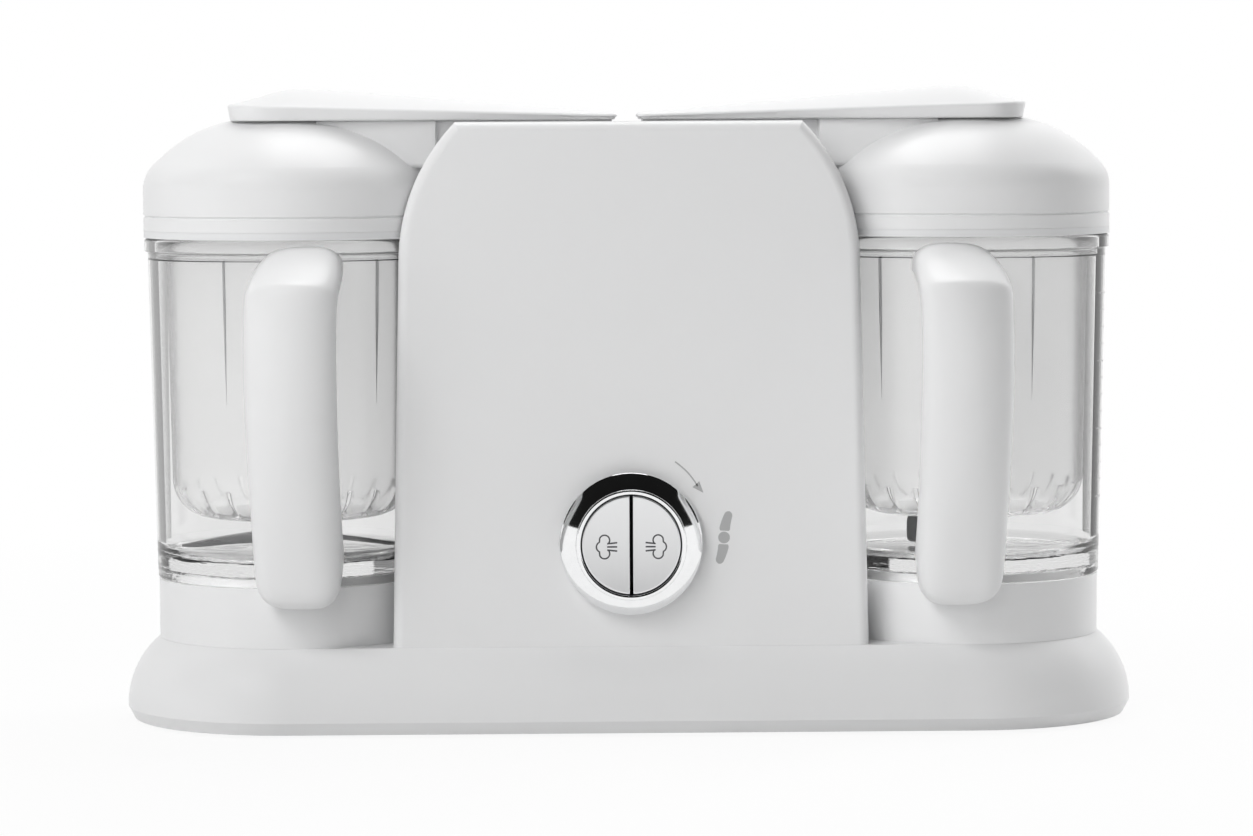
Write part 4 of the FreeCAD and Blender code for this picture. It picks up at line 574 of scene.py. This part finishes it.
# %% Blades
HUB_R, HUB_FOOT, HUB_TOP, HUB_BORE = 13.0, 65.7, 77.2, 10.8
BLADE_TURN = {"left": pi, "right": pi + pi / 3}
WING_DROPS = (3.4, 4.2)
hub_profile = rounded(((HUB_BORE, HUB_FOOT, 0.3), (HUB_R, HUB_FOOT, 0.5), (HUB_R, 74.4, 1.0),
                       (9.6, HUB_TOP, 1.0), (0, HUB_TOP + 0.3, 0), (0, 75.0, 0), (HUB_BORE, 74.2, 0.5)))
for name, side in SIDES:
    turn = BLADE_TURN[name]
    hub = turned(f"{name}_blade_cap", hub_profile, (side * BOWL_X, AXIS_Y, 0), segments=96)
    dress(hub, f"{name}_blade", "hub_grey", f"{name}_blade_hub")
    for row, drop in enumerate(WING_DROPS):
        blade = skin(f"{name}_ground_wing_{row + 1}", spoke(wing(drop), turn + row * pi, side))
        dress(blade, f"{name}_blade", "blade_steel", *((f"{name}_blade_wings",) if row == 0 else ()))
    dress(skin(f"{name}_blade_lug", spoke(lug(), turn - pi / 2, side)), f"{name}_blade", "hub_grey")
    print(hub.name, "with two wings and a lug")

# %% [markdown]
# ## Steam bridges
# Below each arm a flat duct leads steam from the tower into the lid. Its front is a plain face that stops
# short of the tower and steps back into a slimmer neck, which stays in the shade. Rounded rectangles are
# lofted along it, and two of them share a place where it steps.

# %% Steam bridges
bridge_low, bridge_high = (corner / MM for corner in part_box("right_lid_bridge"))
BRIDGE_STEP = 74.0
BRIDGE_STATIONS = (
    # x, how far the section draws in
    (BOWL_X - 12, 0), (BRIDGE_STEP + 0.8, 0), (BRIDGE_STEP + 0.2, 0.3), (BRIDGE_STEP, 0.9),
    (BRIDGE_STEP, 4.5), (BRIDGE_STEP - 0.4, 5), (bridge_low.x, 5))
for name, side in SIDES:
    rings = []
    for x, draw_in in BRIDGE_STATIONS:
        half = (bridge_high.y - bridge_low.y) / 2 - draw_in
        low, high = bridge_low.z + draw_in / 3, bridge_high.z
        y, z = rounded(((-half, low, 2.0), (half, low, 2.0), (half, high, 1.0), (-half, high, 1.0))).T
        rings.append(np.stack((np.full_like(y, side * x), AXIS_Y + y, z), -1))
    bridge = dress(skin(f"{name}_steam_bridge", rings), f"{name}_lid", "white_gloss", f"{name}_lid_bridge")
    print(bridge.name, len(bridge.data.polygons), "faces")

# %% [markdown]
# ## Lever arms
# The long arm on each lid is a paddle: thin at the tip over the tower, thick and broad over the bowl, with
# a soft crest across its top. Its outline is drawn from above, and rings of that outline climb the side and
# then close over the top. The height is one function of the place, so side, edge and crown stay one skin.
# The side leans in a little towards its foot, which keeps it darker than the top.

# %% Lever arms
arm_low, arm_high = (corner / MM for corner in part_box("right_lid_arm"))
ARM_TIP, ARM_END, ARM_FOOT, ARM_TOP = arm_low.x, arm_high.x, arm_low.z, arm_high.z
ARM_CREST, ARM_HALF, TIP_HALF = BOWL_X - 1, (arm_high.y - arm_low.y) / 2, 24.5
ARM_EDGE, ARM_DRAFT, END_ROUND, TIP_ROUND, CREST_ROUND = 0.9, 0.9, 18.0, 2.5, 40.0
TIP_RIM, CREST_RIM = 2.0, 5.3
CREST_RISE, CREST_SOFT = ARM_TOP - ARM_FOOT - CREST_RIM, 9


def arm_side(x):
    """Half width: grows evenly from the tip to the crest and stays."""
    return np.interp(x, (ARM_TIP, ARM_CREST, ARM_END), (TIP_HALF, ARM_HALF, ARM_HALF))


def arm_top(x, y):
    """Height of the top: a rim that thickens towards the bowl, plus a crown (1 - (y / half width)^2) whose
    crest is softened by averaging the broken line over nine millimetres to each side."""
    rim = np.interp(x, (ARM_TIP, ARM_CREST), (TIP_RIM, CREST_RIM))
    line = (ARM_TIP, ARM_CREST, ARM_END), (0.5, CREST_RISE + 0.5, 0.6)
    crown = np.mean([np.interp(x + s, *line) for s in np.linspace(-CREST_SOFT, CREST_SOFT, 13)], 0)
    return ARM_FOOT + rim + np.minimum(crown, CREST_RISE) * (1 - np.clip(y / arm_side(x), -1, 1) ** 2)


def arm_outline(count=360):
    """Outline from above at even steps: the length along the rounded corners is cut into equal parts."""
    corners = rounded(((ARM_TIP, -TIP_HALF, TIP_ROUND), (ARM_CREST, -ARM_HALF, CREST_ROUND),
                       (ARM_END, -ARM_HALF, END_ROUND), (ARM_END, ARM_HALF, END_ROUND),
                       (ARM_CREST, ARM_HALF, CREST_ROUND), (ARM_TIP, TIP_HALF, TIP_ROUND)), steps=14)
    joined = np.vstack((corners, corners[:1]))
    length = np.concatenate(((0,), np.cumsum(np.hypot(*np.diff(joined, axis=0).T))))
    even = np.linspace(0, length[-1], count + 1)[:-1]
    return np.stack([np.interp(even, length, column) for column in joined.T], -1)


def arm_rings(side):
    """Rings of the outline: quarter round below, side, quarter round above, then rings drawn in towards the
    spine: place = edge + s (spine - edge), with the height from arm_top."""
    outline = arm_outline()
    spine_x = np.clip(outline[:, 0], ARM_TIP + TIP_HALF, ARM_END - ARM_HALF)
    inward = np.stack((spine_x, np.zeros(len(outline))), -1) - outline
    reach = np.hypot(*inward.T)[:, None]
    inward /= reach
    rings = []
    for a in np.linspace(pi / 2, 0, 5):
        flat = outline + inward * (ARM_DRAFT + ARM_EDGE * (1 - cos(a)))
        rings.append(np.column_stack((flat, np.full(len(flat), ARM_FOOT + ARM_EDGE * (1 - sin(a))))))
    for a in np.linspace(0, pi / 2, 6):
        flat = outline + inward * ARM_EDGE * (1 - cos(a))
        rings.append(np.column_stack((flat, arm_top(*flat.T) - ARM_EDGE * (1 - sin(a)))))
    for s in np.linspace(0, 1, 18)[1:]:
        flat = outline + inward * (ARM_EDGE + (reach - ARM_EDGE) * s)
        rings.append(np.column_stack((flat, arm_top(*flat.T))))
    return np.array(rings) * (side, 1, 1) + (0, AXIS_Y, 0)


for name, side in SIDES:
    arm = skin(f"{name}_paddle_arm", arm_rings(side))
    dress(arm, f"{name}_lid", "white_gloss", f"{name}_lid_arm")
    print(arm.name, len(arm.data.polygons), "faces")

# %% [markdown]
# ## Knob ring
# The control is a polished ring round two buttons. Its rounded face bends the dark and the light half of the
# room into a band, so the slope of that face matters most. A torus would be quicker, but a turned profile
# gives the slope, the lip round the buttons and the stem in the panel in one piece.

# %% Knob ring
KNOB_Z, PANEL_Y = 73.0, AXIS_Y - 52.0
KNOB_R, KNOB_BORE, BUTTON_R = 27.4, 20.2, 18.8
LIP_R = BUTTON_R + 0.45
knob_low, knob_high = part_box("mix_knob")
KNOB_DEPTH, KNOB_STEM = PANEL_Y - knob_low.y / MM, PANEL_Y - knob_high.y / MM
ring_stem = ((KNOB_BORE, KNOB_STEM), (KNOB_R - 3.0, KNOB_STEM), (KNOB_R - 3.0, 0.8))
ring_side = ((KNOB_R - 2.6, 0.4, 0), (KNOB_R, 0.4, 0.5), (KNOB_R, 3.6, 0))
ring_face = np.array(((KNOB_R, 3.6), (KNOB_R, 4.6), (KNOB_R - 0.6, 5.3), (KNOB_R - 2.6, 7.0),
                      (KNOB_R - 4.6, 8.5), (KNOB_R - 6.2, 9.5)))
ring_lip = np.array(((KNOB_R - 6.2, 9.5), (KNOB_R - 6.3, 10.2), (KNOB_R - 6.7, 10.5), (LIP_R + 0.5, 10.5),
                     (LIP_R, 10.2), (LIP_R, 9.2), (KNOB_BORE, 8.2)))
ring_profile = np.vstack((ring_stem, rounded(ring_side, loop=False), softened(ring_face), softened(ring_lip)))
ring = turned("mix_knob_ring", ring_profile, (0, PANEL_Y, KNOB_Z), TO_FRONT, 200)
dress(ring, "knob", "chrome_ring", "mix_knob")
print(ring.name, "stands", round(KNOB_DEPTH, 2), "mm proud")

# %% [markdown]
# ## Push buttons
# Two half-moon buttons sit inside the ring. They are plates with a shallow finger dish, and their edge gets
# a small quarter round, because a bright line along an edge is what shows that it is metal. Behind each one
# a stem leans on a rubber pad. On the machine the pad squashes when the button goes in; here it is made at
# rest.

# %% Half-moon plates
BUTTON_GAP, BUTTON_EDGE, BUTTON_DISH, BUTTON_THICK = 0.6, 0.5, 0.6, 5.0
button_low, button_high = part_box("right_button")
BUTTON_FACE, STEM_END = PANEL_Y - button_low.y / MM, PANEL_Y - button_high.y / MM
BUTTON_BACK = BUTTON_FACE - BUTTON_THICK


def half_moon(side, inset):
    """Outline of half a disc beside the gap, drawn in by inset: radius R - inset, straight edge at
    gap + inset, so every inset has the same number of points and none of them cross."""
    radius, gap = BUTTON_R - inset, BUTTON_GAP + inset
    lean = np.degrees(np.arcsin(gap / radius))
    bow = arc(0, 0, radius, -90 + lean, 90 - lean, 96)
    edge = np.linspace((gap, bow[-1, 1]), (gap, bow[0, 1]), 43)[1:-1]
    return np.vstack((bow, edge)) * (side, 1)


def dish(u, v):
    """Depth of the finger dish: d (1 - (u^2 + v^2) / R^2), nothing at the rim."""
    return BUTTON_DISH * (1 - (u ** 2 + v ** 2) / BUTTON_R ** 2)


def button_rings(side, steps=5):
    """Half-moons from back to face. The edge follows a quarter round of radius e, inset = e (1 - cos a) and
    height = face - e (1 - sin a); the face then runs in to its middle, and all of it sinks by the dish."""
    a = np.linspace(0, pi / 2, steps + 1)
    inset = np.concatenate(((0,), BUTTON_EDGE * (1 - np.cos(a)), (BUTTON_EDGE + HOLD,)))
    height = np.concatenate(((BUTTON_BACK,), BUTTON_FACE - BUTTON_EDGE * (1 - np.sin(a)), (BUTTON_FACE,)))
    edge = np.stack([half_moon(side, step) for step in inset])
    middle = edge[-1].mean(0)
    face = middle + (edge[-1] - middle) * np.linspace(1, 0, 14)[1:-1, None, None]
    flat = np.concatenate((edge, face))
    u, v = np.moveaxis(flat, -1, 0)
    height = np.concatenate((height, np.full(len(face), BUTTON_FACE)))[:, None] - dish(u, v)
    return np.stack((u, PANEL_Y - height, KNOB_Z + v), -1)


# %% Buttons on their pads
STEM_R, STEM_IN, PAD_FOOT = 3.0, 1.0, 0.5
stem_profile = rounded(((0, STEM_END, 0), (STEM_R, STEM_END, 0.4), (STEM_R, BUTTON_BACK + STEM_IN, 0),
                        (0, BUTTON_BACK + STEM_IN, 0)), loop=False)
for name, side in SIDES:
    button = skin(f"{name}_half_moon_button", button_rings(side))
    dress(button, f"{name}_button", "button_silver", f"{name}_button")
    pad_low, pad_high = (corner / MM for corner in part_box(f"{name}_button_pad"))
    pad_x, pad_r = (pad_low.x + pad_high.x) / 2, (pad_high.x - pad_low.x) / 2
    pad_depth = pad_high.y - pad_low.y
    stem = turned(f"{name}_button_stem", stem_profile, (pad_x, PANEL_Y, KNOB_Z), TO_FRONT, 48, loop=False)
    dress(stem, f"{name}_button", "button_silver")
    pad_profile = rounded(((0, 0, 0), (pad_r, 0, 0.2), (pad_r, PAD_FOOT, 0.2), (STEM_R, pad_depth, 0.4),
                           (0, pad_depth, 0)), loop=False)
    pad = turned(f"{name}_return_pad", pad_profile, (pad_x, pad_high.y, KNOB_Z), TO_FRONT, 48, loop=False)
    dress(pad, "base", "seal_silicone", f"{name}_button_pad")
    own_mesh(pad)
    print(button.name, "on a pad of", round(pad_depth, 2), "mm")

# %% [markdown]
# ## Printed signs
# The buttons, the panel and the bowls carry small printed signs. An image would need a map on each of these
# surfaces. A printed line is also a strip a few hundredths of a millimetre high that follows a path, so one
# helper makes such a strip from any path with a width at each point: lines, arrows and tapered wings.

# %% Print helper
INK, INK_PEEL, LINE_WIDTH = 0.06, 1e-6, 0.55
PRINT_DARK = moulded("dark_print", (0.07, 0.07, 0.075), 0.5, INK_PEEL)
PRINT_GREY = moulded("grey_print", (0.46, 0.462, 0.465), 0.5, INK_PEEL)


def strip(name, path, width, surface, material, body):
    """Flat strip along path: each point widens by width / 2 across the path's direction, and surface maps
    (u, v, height) to the object."""
    path = np.asarray(path, float)
    width = np.broadcast_to(np.asarray(width, float), len(path))
    along = np.gradient(path, axis=0)
    along /= np.hypot(*along.T)[:, None]
    across = np.stack((-along[:, 1], along[:, 0]), -1) * width[:, None] / 2
    edges = ((path - across, -INK), (path - across, INK), (path + across, INK), (path + across, -INK))
    rings = np.stack([surface(flat[:, 0], flat[:, 1], height) for flat, height in edges], 1)
    piece = dress(skin(name, rings), body, "hub_grey")
    piece.data.materials[0] = material
    return piece


# %% Steam signs on the buttons
JET_WIDTH, JET_START, JET_STOP = 0.6, -9.2, -5.4
JETS = ((0.55, 0.95), (-0.65, -0.65), (-1.85, -2.25))


def on_button(u, v, height):
    """Knob face: u to the right and v up from the knob's centre."""
    return np.stack((u, PANEL_Y - BUTTON_FACE + dish(u, v) - height, KNOB_Z + v), -1)


cloud = np.vstack((arc(-10.2, 1.9, 1.95, -40, 160, 20), arc(-11.3, -0.65, 2.0, 115, 245, 20),
                   arc(-10.2, -3.2, 1.95, 200, 400, 20)))
for name, side in SIDES:
    mirror = (-side, 1)
    strip(f"{name}_steam_cloud", cloud * mirror, LINE_WIDTH, on_button, PRINT_DARK, f"{name}_button")
    for row, (start, stop) in enumerate(JETS):
        jet = np.linspace((JET_START, start), (JET_STOP, stop), 8) * mirror
        strip(f"{name}_steam_jet_{row + 1}", jet, JET_WIDTH, on_button, PRINT_DARK, f"{name}_button")
    print(name, "button shows a cloud with", len(JETS), "jets")

# %% Arrow and blade sign on the panel
SIGN_U, SIGN_V, SIGN_HUB = 35.6, 1.7, 2.25
ARROW_HEAD, HEAD_WIDTHS = ((24.9, 22.2), (26.3, 20.6), (27.7, 19.0)), (3.4, 1.8, 0.1)


def on_panel(u, v, height):
    """Front panel, measured from the knob's centre as well."""
    return np.stack((u, np.full_like(u, PANEL_Y - height), KNOB_Z + v), -1)


s = np.linspace(0, 1, 24)
swell = 0.5 * np.sin(pi * s)
arrow_line = np.stack((17.0 + 8.6 * s + swell, 30.9 - 9.4 * s + swell), -1)
strip("mix_arrow_line", arrow_line, LINE_WIDTH, on_panel, PRINT_GREY, "base")
strip("mix_arrow_head", ARROW_HEAD, HEAD_WIDTHS, on_panel, PRINT_GREY, "base")
round_end = np.sqrt(np.clip(1 - np.clip((s - 0.8) / 0.2, 0, 1) ** 2, 0.02, 1)) * np.clip(0.8 + s * 2, 0, 1)
for row, flip in enumerate((1, -1)):
    sign_wing = np.stack((SIGN_U + flip * (0.2 + 2.0 * s ** 1.5), SIGN_V + flip * (2.6 + 7.4 * s)), -1)
    strip(f"blade_sign_wing_{row + 1}", sign_wing, (4.2 - 1.3 * s) * round_end, on_panel, PRINT_GREY, "base")
u = np.linspace(-2.2, 2.2, 25)
disc = np.stack((u + SIGN_U, np.full_like(u, SIGN_V)), -1)
disc_width = 2 * np.sqrt(np.clip(SIGN_HUB ** 2 - u ** 2, 0.01, None))
strip("blade_sign_hub", disc, disc_width, on_panel, PRINT_GREY, "base")
print("an arrow and a blade sign on the panel")

# %% Scale on the bowls
SCALE_TURN, SCALE_LONG, SCALE_SHORT = radians(-6), 8.0, 4.5
SCALE_LEVELS = np.linspace(86, 165.8, 13)


def on_bowl(side):
    """Outside of a bowl: u runs along the wall from the right towards the front, v is the height."""
    def place(u, v, height):
        r = bowl_wall(v) + height
        a = SCALE_TURN - u / r
        return np.stack((side * BOWL_X + r * np.cos(a), AXIS_Y + r * np.sin(a), v), -1)
    return place


for name, side in SIDES:
    for row, level in enumerate(SCALE_LEVELS):
        line = np.linspace((0, level), (SCALE_LONG if row % 4 == 0 else SCALE_SHORT, level), 12)
        strip(f"{name}_scale_line_{row + 1}", line, LINE_WIDTH, on_bowl(side), PRINT_GREY, f"{name}_bowl")
    print(name, "bowl has", len(SCALE_LEVELS), "scale lines")

# %% [markdown]
# ## World
# The picture has a plain white ground. A bright world would give that and also wash out the white object, so
# the world answers white to camera, mirror and glass rays only and stays dim for all others. One helper asks
# which kind of ray is looking, and the floor uses it as well.

# %% World
AMBIENT = 0.13
scene.view_settings.view_transform = "Standard"
world = bpy.data.worlds.new("studio")
scene.world = world
world.use_nodes = True
sky, sky_links = world.node_tree.nodes, world.node_tree.links


def seen_directly(tree):
    """1 for camera, glossy and transmission rays, else 0."""
    path = tree.nodes.new("ShaderNodeLightPath")
    total = path.outputs["Is Camera Ray"]
    for ray in ("Is Glossy Ray", "Is Transmission Ray"):
        larger = tree.nodes.new("ShaderNodeMath")
        larger.operation = "MAXIMUM"
        tree.links.new(total, larger.inputs[0])
        tree.links.new(path.outputs[ray], larger.inputs[1])
        total = larger.outputs["Value"]
    return total


strength = sky.new("ShaderNodeMapRange")
strength.inputs["To Min"].default_value = AMBIENT
strength.inputs["To Max"].default_value = 1.0
sky_links.new(seen_directly(world.node_tree), strength.inputs["Value"])
sky["Background"].inputs["Color"].default_value = (1, 1, 1, 1)
sky_links.new(strength.outputs["Result"], sky["Background"].inputs["Strength"])
print("the world lights surfaces with", AMBIENT, "and looks white")

# %% [markdown]
# ## Lamps
# Soft lamps light a white object so that its rounding shows. The key stands high on the left, with a softer
# lamp in front and a weak one low on the left. One lamp stands behind the object, and a rim light behind it
# on the right. A lamp that shows in gloss leaves a square spot, so only the one overhead does, and the rim
# light is kept out of the clear walls as well.

# %% Lamps
MIDDLE = (0, AXIS_Y * MM, 0.12)
LAMPS = (
    # name, place, size (both in metres), watts, shows in gloss, shows through glass
    ("top", (0.0, 0.2, 1.1), 0.6, 3.5, True, True),
    ("key_left", (-0.9, -1.05, 1.3), 0.7, 12, False, True),
    ("front", (-0.6, -1.85, 0.8), 0.9, 7.2, False, True),
    ("behind", (0.4, 1.9, 1.2), 1.0, 11, False, True),
    ("side_left", (-1.5, -0.7, 0.6), 0.9, 3, False, True),
    ("side_right", (1.15, 0.7, 0.75), 0.6, 11.5, False, False))
for name, place, size, power, in_gloss, through_glass in LAMPS:
    light = bpy.data.lights.new(name, "AREA")
    light.shape, light.size, light.energy = "SQUARE", size, power
    lamp = bpy.data.objects.new(name, light)
    lamp.location = place
    lamp.rotation_euler = (Vector(MIDDLE) - Vector(place)).to_track_quat("-Z", "Y").to_euler()
    lamp.visible_glossy, lamp.visible_transmission = in_gloss, through_glass
    scene.collection.objects.link(lamp)
print(len(LAMPS), "lamps")

# %% [markdown]
# ## Floor
# The object stands on white paper. Paper lit by lamps would turn grey, so rays that see it directly get a
# white glow instead. Near the object a small share of the lit paper stays in the mix, and with it a soft
# shadow under the base; further out it fades into the white ground.

# %% Floor
FLOOR, PAPER_GREY, PAPER_ROUGH = 40.0, 0.85, 0.9
GLOW = (("From Min", 0.2), ("From Max", 0.8), ("To Min", 0.92), ("To Max", 1.0))


def sheet(name, corners, faces, stock):
    """Mesh object of the stage, from corners in metres and with one material."""
    mesh = bpy.data.meshes.new(name)
    mesh.from_pydata(corners, [], faces)
    mesh.materials.append(stock)
    item = bpy.data.objects.new(name, mesh)
    scene.collection.objects.link(item)
    return item


paper = Finish("white_paper", (PAPER_GREY,) * 3, PAPER_ROUGH)
away, fade = paper.nodes.new("ShaderNodeVectorMath"), paper.nodes.new("ShaderNodeMapRange")
away.operation = "LENGTH"
paper.links.new(paper.place, away.inputs[0])
for socket, value in GLOW:
    fade.inputs[socket].default_value = value
paper.links.new(away.outputs["Value"], fade.inputs["Value"])
glow = paper.product(seen_directly(paper.material.node_tree), fade.outputs["Result"])
white, blend = paper.nodes.new("ShaderNodeEmission"), paper.nodes.new("ShaderNodeMixShader")
paper.links.new(glow, blend.inputs["Fac"])
paper.links.new(paper.shader.outputs["BSDF"], blend.inputs[1])
paper.links.new(white.outputs["Emission"], blend.inputs[2])
paper.links.new(blend.outputs["Shader"], paper.nodes["Material Output"].inputs["Surface"])
floor = sheet("floor", ((-FLOOR, -FLOOR, 0), (FLOOR, -FLOOR, 0), (FLOOR, FLOOR, 0), (-FLOOR, FLOOR, 0)),
              [(0, 1, 2, 3)], paper.material)
print(floor.name, "of", 2 * FLOOR, "m")

# %% [markdown]
# ## Dark cards
# White on white has no edges. A photographer stands dark cards round such an object, out of the picture. A
# tent overhead and a card above the camera are seen in mirrors only: they shade the glossy roundings and
# give the chrome ring its black half. A grey card on the left and a black one on the right stand behind the
# bowls and are seen through glass only, where they draw lines in the clear walls. None throws a shadow.

# %% Dark cards
TENT_R, TENT_FRONT, TENT_BACK, TENT_SPAN, TENT_STEPS = 2.8, -2.6, 0.3, (13, 167), 40
ABOVE_HALF, ABOVE_LOW, ABOVE_HIGH = 2.6, 0.2, 2.8
CARD_NEAR, CARD_FAR, CARD_BACK, CARD_LOW, CARD_HIGH = 0.34, 0.66, 0.55, 0.0, 0.7


def card_stock(name, grey):
    """Card that shows one even grey, whatever light falls on it."""
    return Finish(name, (0, 0, 0), 1.0, Emission_Color=(grey, grey, grey, 1), Emission_Strength=1.0).material


BLACK_CARD, GREY_CARD = card_stock("black_card", 0.004), card_stock("grey_card", 0.3)


def card(name, corners, faces, stock, mirrors, glass):
    """Stage that is seen in mirrors or through glass, as asked, and nowhere else."""
    item = sheet(name, corners, faces, stock)
    item.visible_camera = item.visible_diffuse = item.visible_shadow = False
    item.visible_glossy, item.visible_transmission = mirrors, glass
    print(name, "in mirrors" if mirrors else "through glass")


def upright(x0, x1, y, z0, z1):
    """Corners of a rectangle that stands across the view."""
    return (x0, y, z0), (x1, y, z0), (x1, y, z1), (x0, y, z1)


bow = np.insert(arc(0, 0, TENT_R, *TENT_SPAN, TENT_STEPS), 1, TENT_FRONT, axis=1)
tent = np.vstack((bow, bow + (0, TENT_BACK - TENT_FRONT, 0)))
i = np.arange(TENT_STEPS)
tent_faces = np.stack((i, i + 1, i + len(bow) + 1, i + len(bow)), -1)
card("dark_tent", tent.tolist(), tent_faces.tolist(), BLACK_CARD, True, False)
card("card_above_camera", upright(-ABOVE_HALF, ABOVE_HALF, TENT_FRONT, ABOVE_LOW, ABOVE_HIGH), [(0, 1, 2, 3)],
     BLACK_CARD, True, False)
for name, side, stock in (("card_left", -1, GREY_CARD), ("card_right", 1, BLACK_CARD)):
    corners = upright(side * CARD_NEAR, side * CARD_FAR, CARD_BACK, CARD_LOW, CARD_HIGH)
    card(name, corners, [(0, 1, 2, 3)], stock, False, True)
